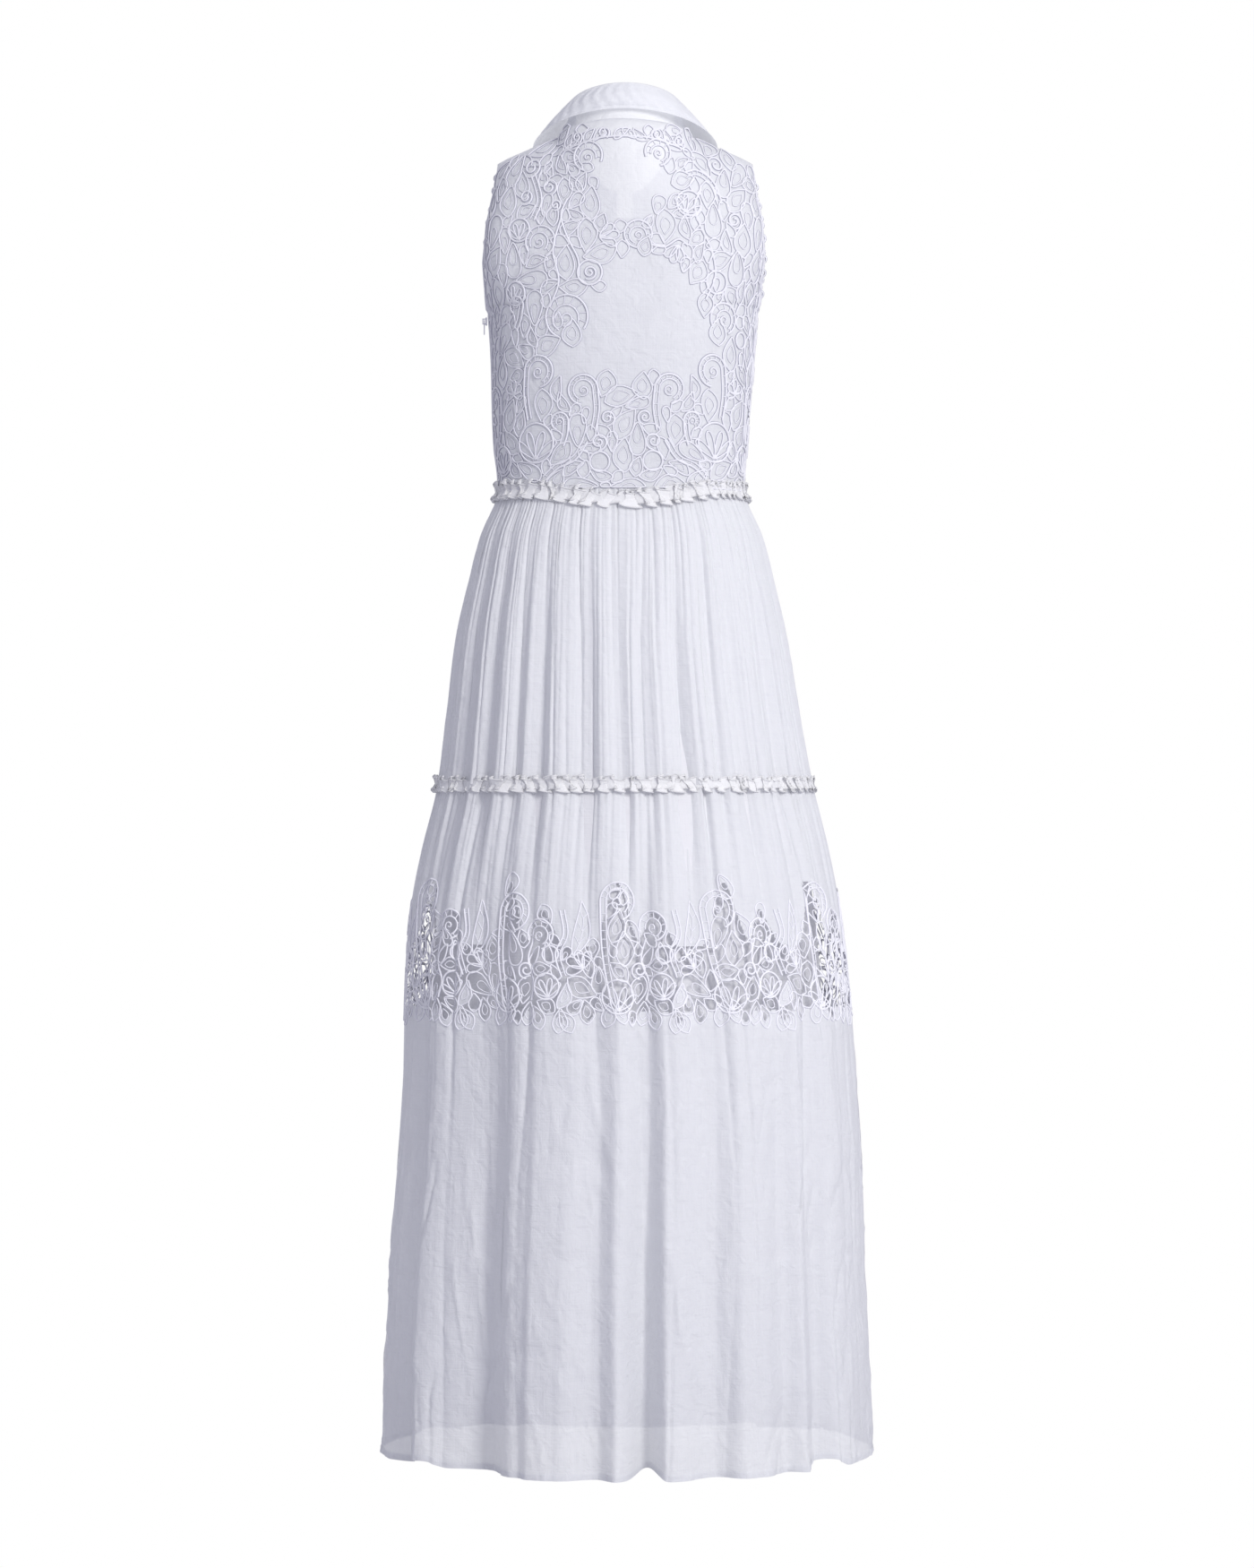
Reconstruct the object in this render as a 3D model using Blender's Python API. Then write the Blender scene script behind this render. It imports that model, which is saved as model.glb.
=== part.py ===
"""White voile maxi dress: collared sleeveless bodice, two gathered tiers, ruffled seams, lace.

Run with: blender --background --python part.py

The dress stands open and hollow, filled out as when it is worn. Lengths are in millimetres
and turned to metres where meshes are made. +Z is up, the back faces +Y, the wearer's left is
+X, and the origin is between the shoulders, where the wearer holds the dress up.
Every cloth piece is a thin wall between two grids of points: skirt and lining walls grow
inward from the garment's form, bodice and lace walls outward.
"""
from math import cos, pi, radians, sin

import bpy
import numpy as np

MM = 0.001
SEAM_GAP = 0.3
CLOTH = 1.2
LACE = 1.0
X_AXIS, Y_AXIS, Z_AXIS = 0, 1, 2

# Heights above the origin.
NECK_SIDE_Z = 19.0
NECK_BACK_Z = 30.0
NECK_FRONT_Z = -52.0
SHOULDER_TIP_Z = -7.0
UNDERARM_Z = -159.0
WAIST_Z = -348.0
TIER_SEAM_Z = -650.0
LACE_BAND_TOP_Z = -745.0
LACE_BAND_BOTTOM_Z = -896.0
HEM_Z = -1340.0
LINING_HEM_Z = -1296.0

# Neck and shoulders.
NECK_HALF_WIDTH = 68.0
NECK_BACK_DEPTH = 62.0
NECK_FRONT_DEPTH = 84.0
SHOULDER_TIP_X = 132.0
SLIT_BOTTOM_Z = -150.0
SLIT_HALF_WIDTH = 7.0
BODY_POWER = 2.3
SKIRT_POWER = 2.0
SKIRT_POWER_Z = -500.0
SHOULDER_ROUNDING = 2.7
ARMHOLE_SCOOP_BACK = 34.0
ARMHOLE_SCOOP_FRONT = 46.0

# The form from bodice to hem: one row for each measured level.
#               z      half width  back depth  front depth  shift to the wearer's left
FORM_LEVELS = (
    (UNDERARM_Z, 138.5, 110.0, 120.0, 2.5),
    (-208.0, 135.5, 106.0, 118.0, 3.0),
    (-255.0, 133.0, 99.0, 109.0, 4.0),
    (-302.0, 130.0, 92.0, 99.0, 5.0),
    (WAIST_Z, 128.0, 88.0, 94.0, 4.0),
    (-394.0, 147.0, 101.0, 107.0, 4.0),
    (-440.0, 159.0, 113.0, 117.0, 4.0),
    (-487.0, 170.0, 124.0, 126.0, 4.0),
    (-580.0, 184.0, 142.0, 142.0, 2.0),
    (TIER_SEAM_Z, 195.0, 152.0, 152.0, 0.0),
    (-720.0, 212.0, 165.0, 163.0, 0.0),
    (-766.0, 221.0, 172.0, 170.0, 0.0),
    (-859.0, 230.0, 183.0, 180.0, -2.0),
    (-952.0, 235.0, 190.0, 187.0, -4.0),
    (-1138.0, 246.0, 202.0, 199.0, -2.0),
    (HEM_Z, 255.0, 215.0, 210.0, -2.0),
)

# The lining slip inside both tiers.
#                z      half width  back depth  front depth  shift
LINING_LEVELS = (
    (WAIST_Z, 126.5, 86.5, 92.5, 4.0),
    (-440.0, 145.0, 99.0, 103.0, 4.0),
    (TIER_SEAM_Z, 178.0, 134.0, 134.0, 0.0),
    (-813.0, 198.0, 146.0, 144.0, 0.0),
    (LINING_HEM_Z, 203.0, 142.0, 140.0, 0.0),
)

# Folds are troughs between rounded ridges.
# across: place over the half width, from 1 at the wearer's left side to -1 at the right side.
#                   across  width (degrees)  depth
TIER_ONE_BACK_FOLDS = (
    (0.91, 12.0, 6.0),
    (0.72, 13.0, 8.0),
    (0.50, 15.0, 9.0),
    (0.22, 15.0, 8.0),
    (-0.02, 12.0, 6.0),
    (-0.22, 13.0, 8.0),
    (-0.45, 14.0, 8.0),
    (-0.66, 14.0, 7.0),
    (-0.88, 13.0, 7.0),
)
TIER_ONE_FRONT_FOLDS = (
    (0.86, 13.0, 7.0),
    (0.66, 13.0, 8.0),
    (0.42, 15.0, 8.0),
    (0.16, 14.0, 9.0),
    (-0.08, 13.0, 7.0),
    (-0.34, 14.0, 8.0),
    (-0.57, 14.0, 8.0),
    (-0.80, 13.0, 7.0),
)
TIER_TWO_BACK_FOLDS = (
    (0.83, 13.0, 26.0),
    (0.66, 15.0, 30.0),
    (0.385, 14.0, 24.0),
    (0.10, 9.0, 34.0),
    (-0.105, 13.0, 60.0),
    (-0.41, 15.0, 24.0),
    (-0.76, 18.0, 48.0),
)
TIER_TWO_FRONT_FOLDS = (
    (0.80, 15.0, 34.0),
    (0.52, 14.0, 26.0),
    (0.24, 13.0, 46.0),
    (-0.04, 14.0, 24.0),
    (-0.33, 13.0, 40.0),
    (-0.60, 14.0, 24.0),
    (-0.82, 13.0, 36.0),
)

# Collar.
STAND_HEIGHT_BACK = 35.0
STAND_HEIGHT_SIDE = 37.0
STAND_HEIGHT_FRONT = 24.0
COLLAR_FRONT_ANGLE = 8.0
NECK_GAP = 0.9
FALL_SIDE_SHARE = 0.72
FALL_SIDE_Z = 15.0
FALL_BACK_Z = 37.0
FALL_BACK_DEPTH = 74.0
FALL_FRONT_DROP = 0.28
FALL_FRONT_LIFT = 8.0
#    share of the way from roll to edge, outward, up
COLLAR_PROFILE = (
    (0.0, -1.6, 0.6),
    (0.04, 0.6, 2.0),
    (0.16, 3.5, 1.6),
    (0.45, 6.0, 1.0),
    (0.75, 4.5, 0.5),
    (1.0, 0.0, 0.0),
)
COLLAR_COLUMNS = 28

# Ruffles.
RUFFLE_HEIGHT = 17.0
RUFFLE_WAVES = 18
RUFFLE_WAVE_DEPTH = 1.6
RUFFLE_COLUMNS = 72
RUFFLE_STANDOFF = 2.8
WAIST_RUFFLE_DIP = 12.0

# Neck and roll of the collar, at the back, the sides and the front.
#                half width, depth
ROLL_BACK = (55.0, 50.0)
ROLL_SIDE = (55.0, 50.0)
ROLL_FRONT = (58.0, 78.0)
HIGHEST_RISE = 0.995
SETTLE_TURN = 0.5

# Half width at the armhole edge, from the underarm at 0 to the shoulder at 1.
#           rise, half width
ARMHOLE_EDGE = ((0.0, 140.0), (0.3, 144.0), (0.55, 141.0), (0.8, 134.0), (1.0, SHOULDER_TIP_X))

# Heights between seams where a wall has one more row of points.
SKIRT_MIDDLE_Z = -1140.0
LINING_ROW_HEIGHTS = (LINING_HEM_Z, -1060.0, -813.0, TIER_SEAM_Z, -490.0, WAIST_Z - SEAM_GAP)

# Grid counts.
BODICE_COLUMNS = 18
BODICE_LOWER_ROWS = 4
BODICE_UPPER_ROWS = 5
WAIST_LACE_ROWS = 2
BORDER_COLUMNS = 4
TIER_COLUMNS = 44
LINING_COLUMNS = 20

# Concealed zip in the left side seam: plate, crown and pull.
ZIP_Z = UNDERARM_Z - 11.0
PLATE_THICK = 1.6
PLATE_WIDE = 5.0
PLATE_TALL = 8.0
CROWN_WIDE = 1.4
CROWN_WIRE = 0.9
CROWN_REACH = 3.2
CROWN_TALL = 6.0
HINGE_REACH = 1.25
HINGE_RISE = 1.0
PULL_THICK = 1.0
WINDOW_HALF_WIDTH = 1.5
WINDOW_HALF_HEIGHT = 2.5
WINDOW_SQUARENESS = 0.6
#                height above the window's middle, half width
PULL_OUTLINE = (
    (3.4, 1.2),
    (2.6, 2.2),
    (0.0, 2.3),
    (-3.0, 2.1),
    (-6.0, 2.4),
    (-9.0, 2.6),
    (-10.9, 2.0),
    (-11.8, 0.8),
)

VOILE_COLOUR = (0.86, 0.86, 0.90, 1.0)
LACE_COLOUR = (0.90, 0.90, 0.93, 1.0)
LINING_COLOUR = (0.80, 0.80, 0.84, 1.0)
ZIP_COLOUR = (0.62, 0.62, 0.68, 1.0)


def clear_scene():
    for item in list(bpy.data.objects):
        bpy.data.objects.remove(item, do_unlink=True)


def make_material(name, colour, roughness, metallic=0.0):
    material = bpy.data.materials.new(name)
    material.use_nodes = True
    shader = material.node_tree.nodes["Principled BSDF"]
    shader.inputs["Base Color"].default_value = colour
    shader.inputs["Roughness"].default_value = roughness
    shader.inputs["Metallic"].default_value = metallic
    return material


# ---------------------------------------------------------------- the garment's form

def level_values(levels, z):
    """Read a table of levels at height z, smoothly from row to row."""
    table = np.array(levels)[::-1]
    heights = table[:, 0]
    index = int(np.clip(np.searchsorted(heights, z) - 1, 0, len(heights) - 2))
    slopes = np.gradient(table[:, 1:], heights, axis=0)
    step = heights[index + 1] - heights[index]
    t = min(max((z - heights[index]) / step, 0.0), 1.0)
    start = (1 + 2 * t) * (1 - t) ** 2
    end = t * t * (3 - 2 * t)
    leave = t * (1 - t) ** 2 * step
    arrive = t * t * (t - 1) * step
    return (start * table[index, 1:] + end * table[index + 1, 1:]
            + leave * slopes[index] + arrive * slopes[index + 1])


def oval_point(levels, z, angle):
    """Point of the form's oval at a height. Angle 0 is the wearer's left, 90 degrees the back."""
    half_width, back, front, shift = level_values(levels, z)
    power = np.interp(z, (SKIRT_POWER_Z, WAIST_Z), (SKIRT_POWER, BODY_POWER))
    across = np.sign(cos(angle)) * abs(cos(angle)) ** (2 / power)
    depth = np.sign(sin(angle)) * abs(sin(angle)) ** (2 / power)
    reach = back if depth >= 0 else front
    point = np.array([shift + half_width * across, reach * depth, z])
    outward = np.array([cos(angle) / half_width, sin(angle) / reach, 0.0])
    return point, outward / np.linalg.norm(outward)


def fold_angle(across, front):
    """Angle of the place given as a share of the half width."""
    angle = np.arccos(across)
    return 2 * pi - angle if front else angle


def trough_depth(folds, angle, front):
    """Depth of the folds at an angle, in millimetres inward."""
    depth = 0.0
    for across, width, deepest in folds:
        away = abs(angle - fold_angle(across, front)) / radians(width / 2)
        if away < 1:
            depth += deepest * (0.5 + 0.5 * cos(pi * away))
    return depth


def tier_one_point(z, angle, front):
    folds = TIER_ONE_FRONT_FOLDS if front else TIER_ONE_BACK_FOLDS
    drop = (WAIST_Z - z) / (WAIST_Z - TIER_SEAM_Z)
    point, outward = oval_point(FORM_LEVELS, z, angle)
    return point - outward * trough_depth(folds, angle, front) * min(drop * 1.6, 1.0)


def tier_two_point(z, angle, front):
    folds = TIER_TWO_FRONT_FOLDS if front else TIER_TWO_BACK_FOLDS
    upper = TIER_ONE_FRONT_FOLDS if front else TIER_ONE_BACK_FOLDS
    drop = (TIER_SEAM_Z - z) / (TIER_SEAM_Z - HEM_Z)
    point, outward = oval_point(FORM_LEVELS, z, angle)
    depth = trough_depth(folds, angle, front) * drop ** 0.9
    depth += trough_depth(upper, angle, front) * max(1 - drop * 4, 0.0)
    return point - outward * depth


def even_angles(curve, first, last, count):
    """Angles that cut a curve into equal lengths, so that deep folds get more columns."""
    fine = np.linspace(first, last, 721)
    points = np.array([curve(angle) for angle in fine])
    steps = np.linalg.norm(np.diff(points, axis=0), axis=1)
    travelled = np.concatenate([[0.0], np.cumsum(steps)])
    return np.interp(np.linspace(0, travelled[-1], count + 1), travelled, fine)


def shoulder_z(x):
    """Height of the shoulder seam."""
    share = (abs(x) - NECK_HALF_WIDTH) / (SHOULDER_TIP_X - NECK_HALF_WIDTH)
    return NECK_SIDE_Z + (SHOULDER_TIP_Z - NECK_SIDE_Z) * share


def neck_edge(x, front):
    """Depth and height of the neckline at x."""
    share = min(abs(x) / NECK_HALF_WIDTH, 1.0)
    round_in = (1 - share ** 2) ** 0.5
    if front:
        return -NECK_FRONT_DEPTH * round_in, NECK_SIDE_Z + (NECK_FRONT_Z - NECK_SIDE_Z) * round_in
    return NECK_BACK_DEPTH * round_in, NECK_SIDE_Z + (NECK_BACK_Z - NECK_SIDE_Z) * round_in


def armhole_half_width(rise):
    """Half width at the armhole edge, from the underarm at 0 to the shoulder at 1."""
    rises, half_widths = zip(*ARMHOLE_EDGE)
    return np.interp(rise, rises, half_widths)


def bodice_point(rise, angle, front):
    """Point of the bodice. rise is -1 at the waist, 0 at the underarm and 1 at the top edge."""
    if rise <= 0:
        z = UNDERARM_Z + rise * (UNDERARM_Z - WAIST_Z)
        return oval_point(FORM_LEVELS, z, angle)[0]
    half_width, back, front_depth, shift = level_values(FORM_LEVELS, UNDERARM_Z)
    side = -1.0 if front else 1.0
    reach = front_depth if front else back
    across = np.sign(cos(angle)) * abs(cos(angle)) ** (2 / BODY_POWER)
    depth = abs(sin(angle)) ** (2 / BODY_POWER)
    x = across * armhole_half_width(rise)
    top_x = across * SHOULDER_TIP_X
    if abs(top_x) < NECK_HALF_WIDTH:
        top_y, top_z = neck_edge(top_x, front)
    else:
        top_y, top_z = 0.0, shoulder_z(top_x)
    scoop = ARMHOLE_SCOOP_FRONT if front else ARMHOLE_SCOOP_BACK
    scoop *= sin(pi * rise) * abs(across) ** 6
    body_y = side * (reach * depth + scoop)
    rounding = (1 - rise ** SHOULDER_ROUNDING) ** (1 / SHOULDER_ROUNDING)
    y = top_y + (body_y - top_y) * rounding
    z = UNDERARM_Z + (top_z - UNDERARM_Z) * rise
    return np.array([x + shift * (1 - rise), y, z])


# ---------------------------------------------------------------- walls of cloth

def grid_normals(grid, closed):
    """Unit normals of a grid of points, rows by columns."""
    along = np.gradient(grid, axis=0)
    if closed:
        across = np.roll(grid, -1, axis=1) - np.roll(grid, 1, axis=1)
    else:
        across = np.gradient(grid, axis=1)
    normal = np.cross(across, along)
    return normal / np.linalg.norm(normal, axis=2, keepdims=True)


def make_solid(name, points, faces, material):
    mesh = bpy.data.meshes.new(name)
    mesh.from_pydata((np.array(points) * MM).tolist(), [], faces)
    mesh.update()
    mesh.materials.append(material)
    piece = bpy.data.objects.new(name, mesh)
    bpy.context.scene.collection.objects.link(piece)
    return piece


def make_wall(name, grid, thickness, material, offset=0.0, closed=False, keep=None, seams=()):
    """Closed wall on a grid whose columns run to the right as seen from outside, rows upward.

    offset moves the inner face out from the grid. keep picks the cells that are cloth. seams
    pairs a stretch of the grid with the axis along which its wall must not lean.
    """
    grid = np.array(grid)
    rows, columns = grid.shape[:2]
    normals = grid_normals(grid, closed)
    for stretch, axis in seams:
        normals[stretch + (axis,)] = 0.0
    normals /= np.linalg.norm(normals, axis=2, keepdims=True)
    outer = grid + normals * (offset + thickness)
    inner = grid + normals * offset
    points = np.concatenate([outer.reshape(-1, 3), inner.reshape(-1, 3)])
    back = rows * columns
    cell_columns = columns if closed else columns - 1
    cells = {(row, column) for row in range(rows - 1) for column in range(cell_columns)
             if keep is None or keep(row, column)}

    def corner(row, column):
        return row * columns + column % columns

    faces = []
    for row, column in sorted(cells):
        low_left, low_right = corner(row, column), corner(row, column + 1)
        top_left, top_right = corner(row + 1, column), corner(row + 1, column + 1)
        for first, second, third in ((low_left, low_right, top_right),
                                     (low_left, top_right, top_left)):
            faces.append((first, second, third))
            faces.append((back + third, back + second, back + first))
        right = (column + 1) % columns if closed else column + 1
        left = (column - 1) % columns if closed else column - 1
        rims = (
            ((row - 1, column), low_right, low_left),
            ((row + 1, column), top_left, top_right),
            ((row, left), low_left, top_left),
            ((row, right), top_right, low_right),
        )
        for neighbour, first, second in rims:
            if neighbour not in cells:
                faces.append((first, second, back + second, back + first))
    used = sorted({index for face in faces for index in face})
    new_index = {old: new for new, old in enumerate(used)}
    faces = [tuple(new_index[index] for index in face) for face in faces]
    return make_solid(name, points[used], faces, material)


def shift_seam(grid, front):
    """Move a panel half a seam gap away from the side seams."""
    grid[:, :, 1] += -SEAM_GAP / 2 if front else SEAM_GAP / 2
    return grid


def panel_angles(front):
    """First and last angle of a panel, with its columns to the right as seen from outside."""
    return (pi, 2 * pi) if front else (0.0, pi)


# ---------------------------------------------------------------- bodice

def bodice_rises():
    lower = np.linspace(-1.0, 0.0, BODICE_LOWER_ROWS + 1)
    upper = 1 - (1 - np.linspace(0.0, 1.0, BODICE_UPPER_ROWS + 1)[1:]) ** 1.25
    return np.concatenate([lower, upper])


def bodice_grid(angles, front):
    grid = np.array([[bodice_point(rise, angle, front) for angle in angles]
                     for rise in bodice_rises()])
    grid[0, :, 2] += SEAM_GAP / 2
    grid = shift_seam(grid, front)
    return grid


def open_front_edge(grid, edge_column, side):
    """Straighten the centre front edge: a seam below, a slit that widens above."""
    for row in grid:
        z = row[edge_column][2]
        widening = max(0.0, (z - SLIT_BOTTOM_Z) / (NECK_FRONT_Z - SLIT_BOTTOM_Z))
        row[edge_column][0] = side * (SEAM_GAP / 2 + SLIT_HALF_WIDTH * widening ** 1.5)


def make_bodice_panel(side_name, grid, seams, from_armhole, voile, lace):
    """One panel, with the lace of its yoke and of its waist lying on it."""
    yoke_from = WAIST_LACE_ROWS + 1
    neck_row = BODICE_LOWER_ROWS + BODICE_UPPER_ROWS - 1

    def in_yoke(row, column):
        return row >= yoke_from and (row >= neck_row or from_armhole(column) < BORDER_COLUMNS)

    def in_waist(row, column):
        return row < WAIST_LACE_ROWS

    out = CLOTH + SEAM_GAP
    make_wall("bodice_" + side_name, grid, CLOTH, voile, seams=seams)
    make_wall("lace_yoke_" + side_name, grid, LACE, lace, out, keep=in_yoke, seams=seams)
    make_wall("lace_waist_" + side_name, grid, LACE, lace, out, keep=in_waist, seams=seams)


def top_seams(grid, front):
    """Along the shoulder seam walls keep to their side; round the front neck they grow upward."""
    seams = []
    for column in range(grid.shape[1]):
        at_neck = abs(grid[-1, column, X_AXIS]) < NECK_HALF_WIDTH
        if front or not at_neck:
            seams.append(((-1, column), Y_AXIS))
        if front and at_neck:
            seams.append(((-1, column), X_AXIS))
    return seams


def make_bodice(voile, lace):
    columns = BODICE_COLUMNS
    waist_seam = ((0, slice(None)), Z_AXIS)
    first_column = (slice(None), 0)
    last_column = (slice(None), -1)

    grid = bodice_grid(np.linspace(0.0, pi, columns + 1), front=False)
    seams = [waist_seam, (first_column, Y_AXIS), (last_column, Y_AXIS)] + top_seams(grid, False)
    make_bodice_panel("back", grid, seams, lambda column: min(column, columns - 1 - column),
                      voile, lace)

    half = columns // 2
    grid = bodice_grid(np.linspace(1.5 * pi, 2 * pi, half + 1), front=True)
    open_front_edge(grid, 0, 1.0)
    seams = [waist_seam, (first_column, X_AXIS), (last_column, Y_AXIS)] + top_seams(grid, True)
    make_bodice_panel("front_left", grid, seams, lambda column: half - 1 - column, voile, lace)

    grid = bodice_grid(np.linspace(pi, 1.5 * pi, half + 1), front=True)
    open_front_edge(grid, half, -1.0)
    seams = [waist_seam, (first_column, Y_AXIS), (last_column, X_AXIS)] + top_seams(grid, True)
    make_bodice_panel("front_right", grid, seams, lambda column: column, voile, lace)


# ---------------------------------------------------------------- collar

def collar_edge(angle):
    """Point of the bodice's top edge. 90 degrees is the centre back, 270 the centre front."""
    front = sin(angle) < 0
    turns = np.linspace(pi, 0.0, BODICE_COLUMNS + 1) * (-1 if front else 1)
    edge = np.array([bodice_point(1.0, turn, front) for turn in turns])
    x = NECK_HALF_WIDTH * cos(angle)
    return np.array([x, np.interp(x, edge[:, 0], edge[:, 1]), np.interp(x, edge[:, 0], edge[:, 2])])


def collar_blend(angle, back, side, front):
    """A size that passes from back to side to front round the neck."""
    turn = sin(angle)
    if turn >= 0:
        return side + (back - side) * turn ** 1.5
    return side + (front - side) * (-turn) ** 1.5


def roll_point(angle):
    """Top of the stand, where the collar rolls over."""
    half_width = collar_blend(angle, ROLL_BACK[0], ROLL_SIDE[0], ROLL_FRONT[0])
    y = sin(angle) * collar_blend(angle, ROLL_BACK[1], ROLL_SIDE[1], ROLL_FRONT[1])
    height = collar_blend(angle, STAND_HEIGHT_BACK, STAND_HEIGHT_SIDE, STAND_HEIGHT_FRONT)
    return np.array([half_width * cos(angle), y, collar_edge(angle)[2] + height])


def surface_normal(rise, angle, front):
    """Outward direction of the bodice's surface."""
    small = 0.01
    along = bodice_point(rise, angle, front) - bodice_point(rise - small, angle, front)
    across = bodice_point(rise, angle + small, front) - bodice_point(rise, angle - small, front)
    normal = np.cross(across, along)
    return normal / np.linalg.norm(normal)


def fall_edge_point(angle):
    """Outer edge of the collar's fall: clear of the back, then lying over shoulders and chest."""
    turn = sin(angle)
    if turn >= 0:
        half_width = FALL_SIDE_SHARE * SHOULDER_TIP_X
        return np.array([half_width * cos(angle), turn * FALL_BACK_DEPTH,
                         FALL_SIDE_Z + (FALL_BACK_Z - FALL_SIDE_Z) * turn ** 1.5])
    share = FALL_SIDE_SHARE * abs(cos(angle))
    panel_angle = np.arccos(share ** (BODY_POWER / 2))
    if cos(angle) >= 0:
        panel_angle = 2 * pi - panel_angle
    else:
        panel_angle = pi + panel_angle
    rise = min(1 + FALL_FRONT_DROP * turn, HIGHEST_RISE)
    lift = CLOTH + LACE + FALL_FRONT_LIFT
    point = bodice_point(rise, panel_angle, True)
    edge = point + surface_normal(rise, panel_angle, True) * lift
    side = np.array([FALL_SIDE_SHARE * SHOULDER_TIP_X * cos(angle), 0.0, FALL_SIDE_Z])
    settle = min(-turn / SETTLE_TURN, 1.0)
    return side * (1 - settle) + edge * settle


def make_collar(voile):
    """Stand inside the neckline, and the fall that rolls over its top."""
    angles = np.linspace(radians(COLLAR_FRONT_ANGLE - 90), radians(270 - COLLAR_FRONT_ANGLE),
                         COLLAR_COLUMNS + 1)
    stand = [[collar_edge(angle) for angle in angles], [roll_point(angle) for angle in angles]]
    make_wall("collar_stand", stand, CLOTH, voile, offset=-(CLOTH + NECK_GAP),
              seams=[((slice(None), slice(None)), Z_AXIS)])
    fall = []
    for share, out, lift in COLLAR_PROFILE:
        row = []
        for angle in angles:
            top = roll_point(angle)
            outward = np.array([cos(angle), sin(angle), 0.0])
            row.append(top + (fall_edge_point(angle) - top) * share + outward * out
                       + np.array([0.0, 0.0, lift]))
        fall.append(row)
    make_wall("collar_fall", fall[::-1], CLOTH, voile)


# ---------------------------------------------------------------- tiers, lace band and lining

def tier_grid(point_at, heights, angles, front, trim_low, trim_high):
    grid = np.array([[point_at(z, angle, front) for angle in angles] for z in heights])
    grid[0, :, 2] += trim_low
    grid[-1, :, 2] -= trim_high
    return shift_seam(grid, front)


PANEL_SEAMS = (
    ((0, slice(None)), Z_AXIS),
    ((-1, slice(None)), Z_AXIS),
    ((slice(None), 0), Y_AXIS),
    ((slice(None), -1), Y_AXIS),
)


def make_tiers(voile, lace):
    half_gap = SEAM_GAP / 2
    upper_heights = np.linspace(TIER_SEAM_Z, WAIST_Z, 4)
    stretches = (
        ("tier_two_top_", (LACE_BAND_TOP_Z, TIER_SEAM_Z), voile, half_gap),
        ("lace_band_", (LACE_BAND_BOTTOM_Z, LACE_BAND_TOP_Z), lace, half_gap),
        ("tier_two_skirt_", (HEM_Z, SKIRT_MIDDLE_Z, LACE_BAND_BOTTOM_Z), voile, 0.0),
    )
    for side, front in (("back", False), ("front", True)):
        first, last = panel_angles(front)
        angles = even_angles(lambda angle: tier_one_point(TIER_SEAM_Z, angle, front),
                             first, last, TIER_COLUMNS)
        grid = tier_grid(tier_one_point, upper_heights, angles, front, half_gap, half_gap)
        make_wall("tier_one_" + side, grid, CLOTH, voile, offset=-CLOTH, seams=PANEL_SEAMS)
        angles = even_angles(lambda angle: tier_two_point(HEM_Z, angle, front),
                             first, last, TIER_COLUMNS)
        for name, heights, material, low_gap in stretches:
            grid = tier_grid(tier_two_point, heights, angles, front, low_gap, half_gap)
            make_wall(name + side, grid, CLOTH, material, offset=-CLOTH, seams=PANEL_SEAMS)


def make_lining(material):
    for side, front in (("back", False), ("front", True)):
        angles = np.linspace(*panel_angles(front), LINING_COLUMNS + 1)
        grid = np.array([[oval_point(LINING_LEVELS, z, angle)[0] for angle in angles]
                         for z in LINING_ROW_HEIGHTS])
        make_wall("lining_" + side, shift_seam(grid, front), CLOTH, material, offset=-CLOTH,
                  seams=PANEL_SEAMS)


# ---------------------------------------------------------------- ruffles

def make_ruffle(name, curves, standoffs, material):
    """Standing strip sewn round a seam, wavy along its lower and upper edges."""
    angles = np.linspace(0, 2 * pi, RUFFLE_COLUMNS, endpoint=False)
    rows = []
    for curve, standoff in zip(curves, standoffs):
        row = []
        for angle in angles:
            wave = RUFFLE_WAVE_DEPTH * (1 + sin(RUFFLE_WAVES * angle))
            outward = oval_point(FORM_LEVELS, TIER_SEAM_Z, angle)[1]
            row.append(curve(angle) + outward * (standoff + wave))
        rows.append(row)
    make_wall(name, rows, LACE, material, closed=True)


def waist_curve(lift):
    def curve(angle):
        dip = WAIST_RUFFLE_DIP * max(sin(angle), 0.0) ** 8
        return oval_point(FORM_LEVELS, WAIST_Z + lift - dip, angle)[0]
    return curve


def tier_seam_curve(lift):
    def curve(angle):
        point_at = tier_one_point if lift > 0 else tier_two_point
        return point_at(TIER_SEAM_Z + lift, angle, sin(angle) < 0)
    return curve


def make_ruffles(voile):
    half = RUFFLE_HEIGHT / 2
    over_lace = CLOTH + LACE + 4 * SEAM_GAP
    make_ruffle("waist_ruffle", (waist_curve(-half), waist_curve(half)),
                (over_lace, over_lace + SEAM_GAP), voile)
    make_ruffle("tier_ruffle", (tier_seam_curve(-half), tier_seam_curve(half)),
                (RUFFLE_STANDOFF, RUFFLE_STANDOFF), voile)


# ---------------------------------------------------------------- zip

def extrude_ring(name, outer, inner, low, high, axis, material):
    """Solid between two outlines with the same number of points, extruded along an axis."""
    count = len(outer)
    points = []
    for place in (low, high):
        for first, second in list(outer) + list(inner):
            point = [first, second]
            point.insert(axis, place)
            points.append(point)
    top = 2 * count
    faces = []
    for here in range(count):
        there = (here + 1) % count
        faces.append((here, there, count + there, count + here))
        faces.append((top + count + here, top + count + there, top + there, top + here))
        faces.append((there, here, top + here, top + there))
        faces.append((count + here, count + there, top + count + there, top + count + here))
    piece = make_solid(name, points, faces, material)
    if signed_volume(piece.data) < 0:
        piece.data.flip_normals()
    return piece


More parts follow.
